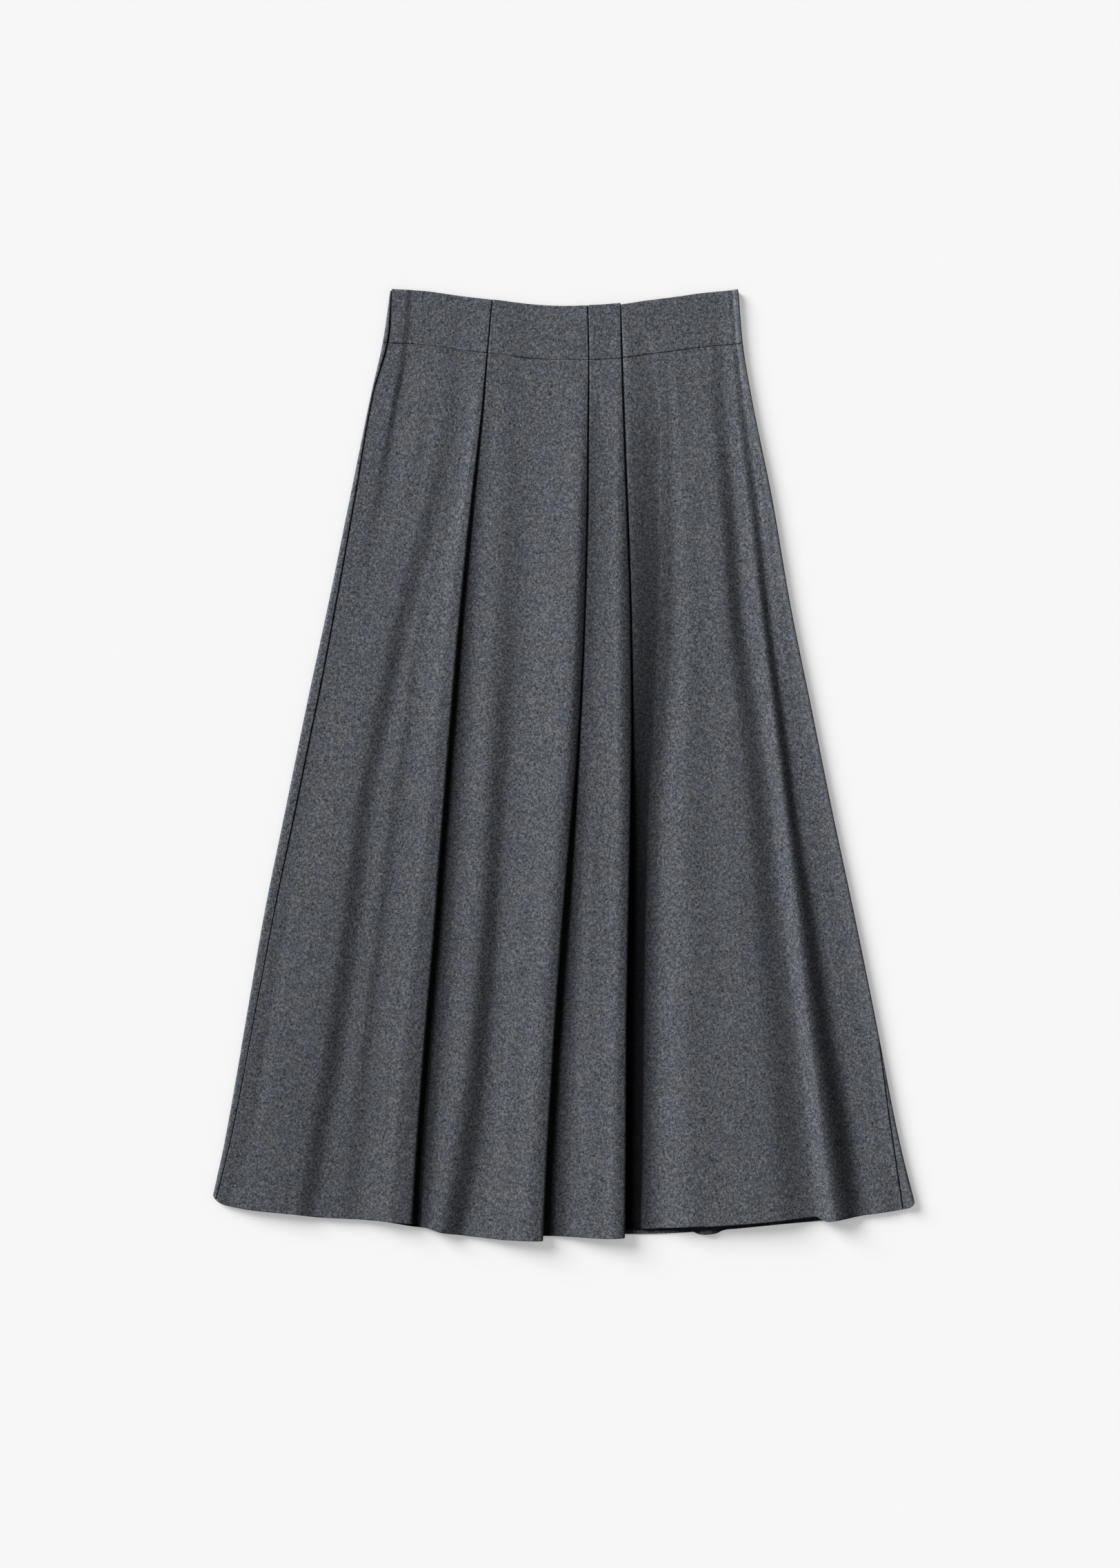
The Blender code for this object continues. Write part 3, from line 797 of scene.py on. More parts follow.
@dataclass(frozen=True)
class Form:
    """Sizes and places that all of the skirt's pieces share.

    Where a pair has a value for each side, the zip side's comes first. A row of eleven has
    one for each distance in DOWN. Levels are over the surface that the skirt lies on.
    """

    # Outline
    length: float = 880.0
    band_depth: float = 51.0
    waist_radius: float = 822.0
    side_lines_meet: tuple[float, float] = (-0.5, 1254.0)
    left_side: tuple[float, ...] = (-164, -171, -182, -202, -222, -243, -263, -283, -300, -317, -332)
    right_side: tuple[float, ...] = (166, 170, 178, 198, 215, 235, 255, 276, 296, 315, 333)
    left_hem: float = 877.0
    right_hem: float = 881.0
    hem_lift: float = 1.5
    hem_lift_from: float = 790.0
    corner_from: float = 810.0
    corner_widths: tuple[float, float] = (15.0, 8.0)
    corner_lifts: tuple[float, float] = (9.0, 4.5)

    # Thickness of the cloth and the room between its layers and pieces
    cloth: float = 1.5
    pressed_cloth: float = 0.95
    pressed_until: tuple[float, float] = (60.0, 190.0)
    between_layers: float = 0.3
    gap: float = 0.3

    # Folds along the sides, and the seams on them
    side_rolls: tuple[float, float] = (2.2, 1.2)
    side_walls: tuple[float, float] = (0.0, 3.6)
    side_leans: tuple[float, float] = (0.0, 0.27)
    side_seam: float = 0.6
    side_ease: float = 12.0
    left_gaps: tuple[float, ...] = (0.6, 1.1, 0.7, 0.6, 0.6, 0.6, 0.6, 0.4, 0.3, 0.3, 0.3)
    left_strip: tuple[float, ...] = (1.5, 5.0, 2.2, 5.0, 7.5, 9.8, 9.8, 9.5, 7.8, 6.2, 3.3)
    right_strip: tuple[float, ...] = (0.5, 0.5, 0.5, 0.5, 0.5, 0.5, 0.5, 0.5, 0.5, 5.0, 11.0)
    left_landing: float = 11.0
    right_landing: float = 14.0

    # Painted shade along the side seams, and painted rim light along the outline
    seam_shades: tuple[tuple[float, ...], tuple[float, ...]] = (
        (0.9, 0.9, 0.9, 0.9, 0.9, 0.9, 0.9, 0.5, 0.2, 0.15, 0.15),
        (0.1, 0.1, 0.1, 0.1, 0.1, 0.1, 0.1, 0.1, 0.2, 0.5, 0.6),
    )
    painted_rim_lights: tuple[tuple[float, ...], tuple[float, ...]] = (
        (0.0, 0.0, 0.0, 0.0, 0.0, 0.0, 0.0, 0.1, 0.2, 0.3, 0.3),
        (0.25, 0.25, 0.25, 0.25, 0.25, 0.25, 0.2, 0.15, 0.15, 0.15, 0.15),
    )
    painted_rim_reach: float = 7.0

    # The painted shade along the waistband's lower seam, and the faint dent across the waistband
    waist_line_places: tuple[float, ...] = (-170, -60, -20, 40, 70, 120, 170)
    waist_line_shades: tuple[float, ...] = (0.75, 0.7, 0.35, 0.45, 0.55, 0.3, 0.2)
    waist_line_break: float = 1.1
    waist_line_dash: float = 9.0
    dent_down: float = 25.0
    dent_width: float = 1.6
    dent_depth: float = 0.22
    dent_ends: tuple[float, float] = (-60.0, 52.0)
    dent_fade: float = 12.0

    # What the three pleats share: their rolled edges, and the painted shade in their mouths and over the
    # next panels
    largest_fold: float = 2.0
    lip_fall: float = 1.6
    halfway_up: float = 0.6
    under_edge: float = 0.2
    mouth: float = 3.0
    mouth_fade: float = 1.6
    nose_shades: tuple[float, float] = (0.1, 0.8)
    nose_shade_growth: float = 4.0
    panel_shade: float = 0.65
    panel_shade_grows: float = 40.0
    panel_shade_fall: float = 1.3

    # The right panel, up to its ridge and down the fall of the ridge, with painted shade in that fall
    valley_room: float = 2.0
    ridge_climb: tuple[float, float] = (0.6, 0.45)
    ridge_shades: tuple[float, ...] = (0.0, 0.0, 0.0, 0.0, 0.0, 0.0, 0.0, 0.2, 0.46, 0.58, 0.52)
    ridge_shade_ends: tuple[float, float] = (5.0, 7.0)

    # The back, and the small arch in its hem
    back_waist_drop: float = 1.5
    arch_from: float = 700.0
    arch_middle: float = 137.0
    arch_half_width: float = 13.5
    arch_rise: float = 4.6
    arch_hem: float = 3.0
    arch_blunt: float = 4.0

    # The zip's tapes, and the ridge that they raise in the front
    tape_foot_levels: tuple[float, ...] = (3.4, 3.1, 2.7, 3.6, 5.2, 6.2, 6.8, 7.0, 7.0, 7.0, 6.5)
    tape_fall: tuple[float, ...] = (8, 8, 7.5, 12, 14, 14, 14, 14, 14, 14, 14)
    tape_ridge: tuple[float, ...] = (14.5, 17.5, 20.2, 20.2, 20.2, 20.2, 20.2, 20.2, 20.2, 20.2, 20.2)
    tape_inset: float = 7.1
    tape_width: float = 12.4
    tape_thickness: float = 0.4
    tape_first: float = 6.0
    zip_length: float = 200.0

    # Dip of the waist's edge and distance of the back's hem, at shares of half the width
    swing: dict[float, float] = field(
        default_factory=lambda: {
            -1.0: 0.4,
            -0.75: -3.9,
            -0.4: -3.1,
            0.0: 0.2,
            0.3: 0.4,
            0.5: -1.5,
            0.75: -1.8,
            1.0: 1.0,
        }
    )
    back_hems: dict[float, float] = field(
        default_factory=lambda: {
            -1.0: 877.0,
            -0.8: 871.0,
            -0.6: 868.0,
            -0.3: 868.0,
            0.0: 873.0,
            0.3: 876.5,
            0.6: 877.5,
            0.8: 880.0,
            1.0: 881.0,
        }
    )

    def cloth_at(self, down: float) -> float:
        """Thickness of the cloth, which is pressed thin about the waist.

        Args:
            down: Distance from the waist's top edge.

        Returns:
            The thickness.
        """
        first, last = self.pressed_until
        share = held_share((down - first) / (last - first))
        return self.pressed_cloth + (self.cloth - self.pressed_cloth) * share

    def layer(self, down: float) -> float:
        """Distance between the middles of two layers that lie on each other."""
        return self.cloth_at(down) + self.between_layers

    def back_level(self, down: float) -> float:
        """Level of the back, which lies on the surface."""
        return self.cloth_at(down) / 2

    def underlay(self, down: float) -> float:
        """Level of the cloth under a pleat."""
        return self.back_level(down) + self.layer(down)

    def fold_back(self, down: float) -> float:
        """Level of the cloth that runs back under a pleat's edge."""
        return self.underlay(down) + self.layer(down)

    def side_level(self, down: float, side: int) -> float:
        """Level of the front where it comes round the side fold."""
        which = side > 0
        return self.back_level(down) + 2 * self.side_rolls[which] + self.side_walls[which]

    def side_inset(self, down: float, side: int) -> float:
        """How far inside the side the middle of the cloth has come round its fold."""
        return self.cloth_at(down) / 2 + self.side_rolls[side > 0]

    def side_turn(self, side: int) -> float:
        """Length of cloth round a side fold."""
        return math.pi * self.side_rolls[side > 0] + self.side_walls[side > 0]

    def half_width(self, down: float) -> float:
        """Half the skirt's width along the row at a distance down."""
        return (value_at(self.right_side, down) - value_at(self.left_side, down)) / 2

    def arch_growth(self, down: float) -> float:
        """How much of the small arch in the back's hem there is at a distance down."""
        return max(0.0, (down - self.arch_from) / (self.length - self.arch_from))

    def corner_lift(self, offsets: np.ndarray, down: float) -> np.ndarray:
        """How far the hem's two rounded corners draw in the cloth.

        Args:
            offsets: Offsets from the centre line.
            down: Distance from the waist's top edge.

        Returns:
            One distance for each offset.
        """
        growth = max(0.0, (down - self.corner_from) / (self.length - self.corner_from)) ** 2
        widths = np.where(offsets > 0, self.corner_widths[1], self.corner_widths[0])
        lifts = np.where(offsets > 0, self.corner_lifts[1], self.corner_lifts[0])
        near = np.clip(1 - (self.half_width(down) - np.abs(offsets)) / widths, 0, 1)
        return growth * lifts * (1 - np.sqrt(1 - near**2))

    def place(self, line: np.ndarray, down: float, hems: np.ndarray, tops: np.ndarray) -> np.ndarray:
        """World places, in metres, of points at a nominal distance down.

        Args:
            line: Offset and level of each point.
            down: Distance from the waist's top edge.
            hems: Distance at which each point's line meets the hem.
            tops: How far each point's line stands above the waist's top edge.

        Returns:
            One row of X, Y and Z for each point.
        """
        curve = SoftCurve(list(self.swing), list(self.swing.values()))
        waist = curve.at(line[:, 0] / self.half_width(down))
        lift = tops * max(0.0, 1 - down / self.band_depth)
        radius = self.waist_radius + waist - lift + down * (hems - waist) / self.length
        radius = radius - self.corner_lift(line[:, 0], down)
        angle = line[:, 0] / radius
        x = self.side_lines_meet[0] + radius * np.sin(angle)
        y = self.side_lines_meet[1] - radius * np.cos(angle)
        return np.stack([x, y, line[:, 1]], axis=1) * MILLIMETRE


def points(offsets: Any, levels: Any, hems: Any, tops: Any = 0.0, free: float = 1.0) -> np.ndarray:
    """Points of a section, one row for each, with the columns named at the top."""
    columns = np.broadcast_arrays(np.asarray(offsets, float), levels, hems, tops, free, 0.0)
    return np.stack(columns, axis=1).astype(float)


def soft_section(
    knots: Sequence[Sequence[float]], counts: Sequence[int], slope: float = 0.0
) -> np.ndarray:
    """Points on a smooth curve through knots.

    Args:
        knots: Offset, level, hem and top of each knot.
        counts: How many points each stretch between two knots has.
        slope: The curve's slope at its last knot.

    Returns:
        The section's points, without the last knot.
    """
    table = np.array(knots, float)
    places = np.concatenate(
        [
            np.linspace(start, end, count, endpoint=False)
            for start, end, count in zip(table[:, 0], table[1:, 0], counts)
        ]
    )
    levels = SoftCurve(table[:, 0], table[:, 1], (0.0, slope)).at(places)
    hems = np.interp(places, table[:, 0], table[:, 2])
    tops = np.interp(places, table[:, 0], table[:, 3])
    return points(places, levels, hems, tops)


def arc(
    centre: tuple[float, float], radius: float, first: float, last: float, count: int
) -> tuple[np.ndarray, np.ndarray]:
    """Offsets and levels on an arc, from one angle to another in degrees."""
    angles = np.radians(np.linspace(first, last, count))
    return centre[0] + radius * np.cos(angles), centre[1] + radius * np.sin(angles)


# Distances from a cut edge at which extra points round it off, and how that thins it
EDGE_STEPS = (0.0, 0.12, 0.35, 0.8, 1.3)
EDGE_REACH = 0.75
EDGE_THINNEST = 0.3

# Even rows of each kind of piece
SKIRT_ROWS = 104
BAND_ROWS = 30
TAPE_ROWS = 60

# Distances from a tape's inner edge at which it has its other points
TAPE_STEPS = (3.0, 5.0, 7.0, 9.0)

# How far from a seam the painted seam shade reaches, and the noise that breaks the painted shade along
# the waist seam
SEAM_REACH = 1.25
WAIST_LINE_DRAW = (4.4, 0.3)

# Angle in degrees above which an edge of cloth is shaded sharp
SHARP = 50.0
SHORTEST_STEP = 1e-9


def edge_thickness(distance: Any) -> Any:
    """Share of the cloth's full thickness at a distance from its cut edge, or at several."""
    share = np.clip(1 - np.asarray(distance, float) / EDGE_REACH, 0, 1)
    return np.maximum(np.sqrt(1 - share**2), EDGE_THINNEST)


@dataclass
class Sections:
    """Draws the skirt's sections across, at any distance down.

    Its numbers say how many points each part of a section has, and each of its rows of
    numbers says it for the stretches between a panel's knots.
    """

    form: Form = field(default_factory=Form)
    side_points: int = 9
    back_side_points: int = 12
    back_points: int = 150
    nose_points: int = 9
    fold_back_points: tuple[int, ...] = (5,)
    turn_points: int = 6
    under_points: tuple[int, ...] = (4, 5, 6)
    rise_points: int = 9
    left_points: tuple[int, ...] = (4, 8, 16, 16, 12, 12, 8, 12, 10)
    middle_points: tuple[int, ...] = (16, 14, 14, 12, 10)
    strip_points: tuple[int, ...] = (12, 6, 6, 8)
    right_points: tuple[int, ...] = (6, 10, 6, 12, 12, 8, 6, 10, 10)

    def side_path(self, down: float, side: int, lengths: np.ndarray, hem: float) -> np.ndarray:
        """Points round the fold along a side, from the back up onto the front.

        Args:
            down: Distance from the waist's top edge.
            side: -1 for the zip side and 1 for the other.
            lengths: Lengths along the middle of the cloth from where it leaves the surface.
            hem: Distance of the hem there.

        Returns:
            The points, in the order of the lengths.
        """
        form = self.form
        which = side > 0
        row = form.right_side if which else form.left_side
        roll = form.side_rolls[which]
        wall = form.side_walls[which]
        quarter = math.pi / 2
        below = np.minimum(lengths / roll, quarter)
        upright = np.clip(lengths - quarter * roll, 0, wall)
        above = np.clip((lengths - wall) / roll - quarter, 0, quarter)
        flat = np.maximum(lengths - form.side_turn(side), 0)
        inward = roll * (1 - np.sin(below + above)) + flat
        levels = form.back_level(down) + roll * (1 - np.cos(below + above)) + upright
        levels = levels - form.side_leans[which] * np.maximum(flat - roll, 0)
        outer = abs(value_at(row, down)) - form.cloth_at(down) / 2
        return points(side * (outer - inward), levels, hem, 0.0, 0.0)

    def seam_length(self, down: float, side: int) -> float:
        """Length along the side fold to the middle of its seam.

        Args:
            down: Distance from the waist's top edge.
            side: -1 for the zip side and 1 for the other.

        Returns:
            The length from where the cloth leaves the surface.
        """
        form = self.form
        strip = form.right_strip if side > 0 else form.left_strip
        roll = form.side_rolls[side > 0]
        inward = max(value_at(strip, down) - form.cloth_at(down) / 2, 0.0)
        if inward < roll:
            return form.side_turn(side) - roll * math.asin(1 - inward / roll)
        return form.side_turn(side) + inward - roll

    def from_seam(self, seam: float, last: float, count: int) -> np.ndarray:
        """Lengths from a seam to a place along the side fold, close together at the seam.

        Args:
            seam: Length to the seam.
            last: Length to the place.
            count: How many even steps lead there from the close ones.

        Returns:
            The lengths. The first lies past the seam and only sets the cut edge's angle.
        """
        way = math.copysign(1, last - seam)
        close = seam + way * np.array((-EDGE_STEPS[1], *EDGE_STEPS))
        return np.concatenate([close, np.linspace(close[-1], last, count + 1)[1:]])

    def shade_at_panel(self, pleat: Pleat, down: float) -> float:
        """How dark the painted shadow of its pleat is where a panel starts."""
        below_band = held_share((down - self.form.band_depth) / self.form.panel_shade_grows)
        return self.form.panel_shade * below_band * value_at(pleat.shade, down)

    def shade_panel(self, panel: np.ndarray, pleat: Pleat, down: float) -> np.ndarray:
        """Paint its pleat's shadow over a panel, fading out little by little.

        Args:
            panel: The panel's points.
            pleat: The pleat that it comes out from under.
            down: Distance from the waist's top edge.

        Returns:
            The points with their painted shade.
        """
        from_pleat = panel[:, OFFSET] - panel[0, OFFSET]
        share = np.clip(1 - from_pleat / value_at(pleat.reach, down), 0, 1)
        shade = self.shade_at_panel(pleat, down) * share**self.form.panel_shade_fall
        panel[:, PAINTED_SHADE] = np.maximum(panel[:, PAINTED_SHADE], shade)
        return panel

    def pleat_lip(self, pleat: Pleat, down: float) -> tuple[float, float, float, float]:
        """Where a pleat's lip is.

        Args:
            pleat: The pleat.
            down: Distance from the waist's top edge.

        Returns:
            Offset of its edge, level of its lip, radius of its fold and the angle of the
            slope that meets it.
        """
        form = self.form
        edge = value_at(pleat.edge, down) - form.cloth_at(down) / 2
        drop = value_at(pleat.lip, down)
        lip = value_at(pleat.crest, down) - drop
        room = lip - form.fold_back(down)
        fall = math.atan(form.lip_fall * drop / value_at(pleat.slope, down))
        return edge, lip, max(min(room / 2, form.largest_fold), form.layer(down) / 2), fall

    def pleat_approach(self, pleat: Pleat, down: float, foot: Sequence[float]) -> tuple[list, float]:
        """Knots of the panel that runs up onto a pleat, and its last slope.

        Args:
            pleat: The pleat.
            down: Distance from the waist's top edge.
            foot: The knot that the panel rises from.

        Returns:
            The knots halfway up, at the crest and at the lip, and the slope at the lip.
        """
        edge, lip, fold, fall = self.pleat_lip(pleat, down)
        crest = value_at(pleat.crest, down)
        crest_offset = edge - fold - value_at(pleat.slope, down)
        halfway = foot[0] + self.form.halfway_up * (crest_offset - foot[0])
        lip_offset = edge - fold + fold * math.sin(fall)
        knots = [
            (halfway, (foot[1] + crest) / 2, pleat.hem, pleat.top),
            (crest_offset, crest, pleat.hem, pleat.top),
            (lip_offset, lip - fold + fold * math.cos(fall), pleat.hem, pleat.top),
        ]
        return knots, -math.tan(fall)

    def pleat_nose(self, pleat: Pleat, down: float) -> np.ndarray:
        """Points round a pleat's rolled edge, from the lip to its underside.

        Args:
            pleat: The pleat.
            down: Distance from the waist's top edge.

        Returns:
            The points.
        """
        edge, lip, fold, fall = self.pleat_lip(pleat, down)
        turn = arc((edge - fold, lip - fold), fold, 90 - math.degrees(fall), -90, self.nose_points)
        nose = points(*turn, pleat.hem, pleat.top)
        share = np.linspace(0, 1, len(nose))
        least, more = self.form.nose_shades
        shade = least + more * value_at(pleat.shade, down)
        nose[:, FREE] = np.linspace(1, 0, len(nose))
        # Painted shade, growing round the underside of the rolled edge
        nose[:, PAINTED_SHADE] = shade * share**self.form.nose_shade_growth
        return nose

    def pleat_tuck(self, pleat: Pleat, down: float) -> np.ndarray:
        """Points of the cloth folded under a pleat, back from its edge and out again.

        Args:
            pleat: The pleat.
            down: Distance from the waist's top edge.

        Returns:
            The points.
        """
        form = self.form
        edge, lip, fold, _ = self.pleat_lip(pleat, down)
        inner = edge - value_at(pleat.depth, down)
        underlay = form.underlay(down)
        radius = form.layer(down) / 2
        hump = max(value_at(pleat.hump, down), underlay)
        back_knots = [
            (inner, form.fold_back(down), pleat.hem, pleat.top),
            (edge - fold, lip - 2 * fold, pleat.hem, pleat.top),
        ]
        back = soft_section(back_knots, self.fold_back_points)[::-1]
        turn = arc((inner, underlay + radius), radius, 90, 270, self.turn_points)
        turned = points(*turn, pleat.hem, pleat.top)[1:]
        turned[:, TOP] = np.linspace(pleat.top, pleat.next_top, len(turned))
        nudge = edge + form.cloth_at(down)
        shows, sink = self.pleat_sink(pleat, down)
        under_knots = [
            (inner, underlay, pleat.hem, pleat.next_top),
            (nudge - form.under_edge, underlay, pleat.next_hem, pleat.next_top),
            (nudge + pleat.hump_place * (shows - nudge), hump, pleat.next_hem, pleat.next_top),
            (shows, sink, pleat.next_hem, pleat.next_top),
        ]
        under = soft_section(under_knots, self.under_points)[1:]
        tuck = np.concatenate([back, turned, under])
        tuck[:, FREE] = 0.0
        # Painted shade: full under the pleat, fading to the pleat's shade in its open mouth
        tuck[:, PAINTED_SHADE] = 1.0
        open_share = np.clip((under[:, OFFSET] - edge + form.mouth) / form.mouth_fade, 0, 1)
        tuck[-len(under):, PAINTED_SHADE] = 1 - (1 - value_at(pleat.shade, down)) * open_share
        return tuck

    def pleat_sink(self, pleat: Pleat, down: float) -> tuple[float, float]:
        """Offset and level at which the cloth under a pleat turns up to the next panel."""
        shows = value_at(pleat.edge, down) + self.form.cloth_at(down) / 2 + value_at(pleat.shows, down)
        return shows, max(value_at(pleat.sink, down), self.form.underlay(down))

    def pleat_fold(self, pleat: Pleat, down: float) -> tuple[np.ndarray, tuple[float, ...]]:
        """Points of one pleat's fold.

        They run round the rolled edge, back under it, out again along the underlay and
        up the edge of the next panel.

        Args:
            pleat: The pleat.
            down: Distance from the waist's top edge.

        Returns:
            The points, and the knot at which the next panel starts.
        """
        shows, sink = self.pleat_sink(pleat, down)
        roll = value_at(pleat.roll, down)
        start = value_at(pleat.start, down)
        angles = np.radians(np.linspace(0, 90, self.rise_points)[:-1])
        levels = sink + (start - sink) * np.sin(angles)
        risen = points(shows + roll * (1 - np.cos(angles)), levels, pleat.next_hem, pleat.next_top)
        shades = value_at(pleat.shade, down), self.shade_at_panel(pleat, down)
        risen[:, FREE] = np.linspace(0, 1, len(risen))
        # Painted shade fading from the pleat's mouth onto the next panel
        risen[:, PAINTED_SHADE] = np.linspace(*shades, len(risen))
        fold = np.concatenate([self.pleat_nose(pleat, down), self.pleat_tuck(pleat, down), risen])
        return fold, (shows + roll, start, pleat.next_hem, pleat.next_top)

    def left_end(self, down: float) -> float:
        """Offset at which the left panel leaves its side fold."""
        form = self.form
        return value_at(form.left_side, down) + form.side_inset(down, -1) + form.left_landing

    def right_inset(self, down: float) -> float:
        """How far inside the side the right panel comes to its side fold."""
        room = value_at(self.form.right_side, down) - value_at(RIDGE_FOOT.offsets, down)
        return min(self.form.right_landing, room / 2)

    def left_panel(self, down: float) -> np.ndarray:
        """The front from the zip side's seam to the first pleat.

        Args:
            down: Distance from the waist's top edge.

        Returns:
            The points.
        """
        form = self.form
        hem = form.left_hem
        seam = self.seam_length(down, -1) + value_at(form.left_gaps, down) / 2
        landing = form.side_turn(-1) + form.left_landing
        lengths = self.from_seam(seam, landing, self.side_points)[:-1]
        tape_end = value_at(form.left_side, down) + value_at(form.tape_ridge, down)
        tape_foot = tape_end + value_at(form.tape_fall, down)
        approach, slope = self.pleat_approach(PLEAT_A, down, SECOND_FOOT.knot(down))
        knots = [
            (self.left_end(down), form.side_level(down, -1), hem, 0),
            (tape_end, form.side_level(down, -1), hem, 0),
            (tape_foot, value_at(form.tape_foot_levels, down), hem, 0),
            LEFT_CREST.knot(down),
            LEFT_FOOT.knot(down),
            SECOND_CREST.knot(down),
            SECOND_FOOT.knot(down),
            *approach,
        ]
        panel = soft_section(knots, self.left_points, slope)
        return np.concatenate([self.side_path(down, -1, lengths, hem), panel])

    def middle_panel(self, start: Sequence[float], down: float) -> np.ndarray:
        """The front between the first two pleats.

        Args:
            start: The knot at which the panel starts.
            down: Distance from the waist's top edge.

        Returns:
            The points.
        """
        approach, slope = self.pleat_approach(PLEAT_B, down, MIDDLE_FOOT.knot(down))
        knots = [start, MIDDLE_CREST.knot(down), MIDDLE_FOOT.knot(down), *approach]
        return self.shade_panel(soft_section(knots, self.middle_points, slope), PLEAT_A, down)

    def strip(self, start: Sequence[float], down: float) -> np.ndarray:
        """The narrow strip between the last two pleats.

        Args:
            start: The knot at which the strip starts.
            down: Distance from the waist's top edge.

        Returns:
            The points.
        """
        dip = STRIP_DIP.knot(down)
        approach, slope = self.pleat_approach(PLEAT_C, down, dip)
        strip = soft_section([start, dip, *approach], self.strip_points, slope)
        return self.shade_panel(strip, PLEAT_B, down)

    def right_panel(self, start: Sequence[float], down: float) -> np.ndarray:
        """The front from the last pleat to the seam along the other side.

        Args:
            start: The knot at which the panel starts.
            down: Distance from the waist's top edge.

        Returns:
            The points.
        """
        form = self.form
        offset, *rest = VALLEY.knot(down)
        foot = RIGHT_FOOT.knot(down)
        crest = RIDGE_CREST.knot(down)
        ridge_foot = RIDGE_FOOT.knot(down)
        across, up = form.ridge_climb
        climb = (foot[0] + across * (crest[0] - foot[0]), foot[1] + up * (crest[1] - foot[1]), *crest[2:])
        inset = self.right_inset(down)
        beyond_fold = inset - form.side_inset(down, 1)
        lean = form.side_leans[1] * max(beyond_fold - form.side_rolls[1], 0.0)
        end = value_at(form.right_side, down) - inset
        knots = [
            start,
            (max(offset, start[0] + form.valley_room), *rest),
            RIGHT_RISE.knot(down),
            RIGHT_DIP.knot(down),
            RIGHT_CREST.knot(down),
            foot,
            climb,
            crest,
            ridge_foot,
            (end, form.side_level(down, 1) - lean, form.right_hem, 0),
        ]
        panel = self.shade_panel(soft_section(knots, self.right_points), PLEAT_C, down)
        # Painted shade in the fall of the ridge
        before, after = form.ridge_shade_ends
        share = (panel[:, OFFSET] - crest[0] + before) / (ridge_foot[0] - crest[0] + before + after)
        ridge_painted_shade = np.sin(math.pi * np.clip(share, 0, 1)) * value_at(form.ridge_shades, down)
        panel[:, PAINTED_SHADE] = np.maximum(panel[:, PAINTED_SHADE], ridge_painted_shade)
        seam = self.seam_length(down, 1) + form.side_seam / 2
        lengths = self.from_seam(seam, form.side_turn(1) + beyond_fold, self.side_points)[::-1]
        return np.concatenate([panel, self.side_path(down, 1, lengths, form.right_hem)])

    def front(self, down: float) -> np.ndarray:
        """The front's whole section, from the zip side's seam to the other.

        Args:
            down: Distance from the waist's top edge.

        Returns:
            The points.
        """
        pleat_a, middle_start = self.pleat_fold(PLEAT_A, down)
        pleat_b, strip_start = self.pleat_fold(PLEAT_B, down)
        pleat_c, right_start = self.pleat_fold(PLEAT_C, down)
        section = np.concatenate(
            [
                self.left_panel(down),
                pleat_a,
                self.middle_panel(middle_start, down),
                pleat_b,
                self.strip(strip_start, down),
                pleat_c,
                self.right_panel(right_start, down),
            ]
        )
        last = value_at(self.form.right_side, down) - self.right_inset(down)
        to_fold = np.minimum(section[:, OFFSET] - self.left_end(down), last - section[:, OFFSET])
        share = np.clip(to_fold / self.form.side_ease, 0, 1)
        section[:, FREE] *= share**2 * (3 - 2 * share)
        return self.rumpled(section, down)

    def rumpled(self, section: np.ndarray, down: float) -> np.ndarray:
        """Add the creases and the small unevenness of soft cloth to the front.

        Args:
            section: The section, whose FREE column says where its cloth may move.
            down: Distance from the waist's top edge.

        Returns:
            The section with its new levels.
        """
        form = self.form
        offsets = section[:, OFFSET]
        rise = crease_rise(FRONT_CREASES, offsets, down)
        rise += [sum(waves.rise(offset, down) for waves in UNEVENNESS) for offset in offsets]
        first, last = form.dent_ends
        along = np.clip(np.minimum(offsets - first, last - offsets) / form.dent_fade, 0, 1)
        near = math.exp(-(((down - form.dent_down) / form.dent_width) ** 2))
        rise -= form.dent_depth * near * along
        to_hem = held_share((down - form.hem_lift_from) / (form.length - form.hem_lift_from))
        rise += form.hem_lift * to_hem**2
        section[:, LEVEL] += section[:, FREE] * rise
        return section

    def tape(self, down: float, lift: float) -> np.ndarray:
        """A zip tape's section, which lies flat inside the zip side.

        Args:
            down: Distance from the waist's top edge.
            lift: How far the tape lies over the back.

        Returns:
            The points.
        """
        form = self.form
        inner = value_at(form.left_side, down) + form.tape_inset
        close = np.array((-EDGE_STEPS[1], *EDGE_STEPS))
        steps = np.concatenate([close, TAPE_STEPS])
        offsets = np.concatenate([inner + steps, (inner + form.tape_width - close)[::-1]])
        return points(offsets, form.cloth_at(down) + lift, form.left_hem, 0.0, 0.0)

    def back(self, down: float) -> np.ndarray:
        """The back's section, from its zip side seam round under the skirt to the other.

        Args:
            down: Distance from the waist's top edge.

        Returns:
            The points.
        """
        form = self.form
        left_seam = self.seam_length(down, -1) - value_at(form.left_gaps, down) / 2
        right_seam = self.seam_length(down, 1) - form.side_seam / 2
        left_lengths = self.from_seam(left_seam, 0, self.back_side_points)
        right_lengths = self.from_seam(right_seam, 0, self.back_side_points)[::-1]
        left_edge = self.side_path(down, -1, left_lengths, 0)
        right_edge = self.side_path(down, 1, right_lengths, 0)
        middle = np.linspace(left_edge[-1, OFFSET], right_edge[0, OFFSET], self.back_points)[1:-1]
        flat = points(middle, form.back_level(down), 0)
        section = np.concatenate([left_edge, flat, right_edge])
        offsets = section[:, OFFSET]
        hems = SoftCurve(list(form.back_hems), list(form.back_hems.values()))
        growth = form.arch_growth(down)
        near = np.clip(np.abs(offsets - form.arch_middle) / form.arch_half_width, 0, 1)
        arch = form.arch_rise * growth * (1 + np.cos(math.pi * near)) / 2
        lower = form.arch_hem * growth * (1 - near**form.arch_blunt)
        section[:, HEM] = hems.at(offsets / form.half_width(down)) + lower
        section[:, TOP] = -form.back_waist_drop
        section[:, LEVEL] += section[:, FREE] * (crease_rise(BACK_CREASES, offsets, down) + arch)
        return section


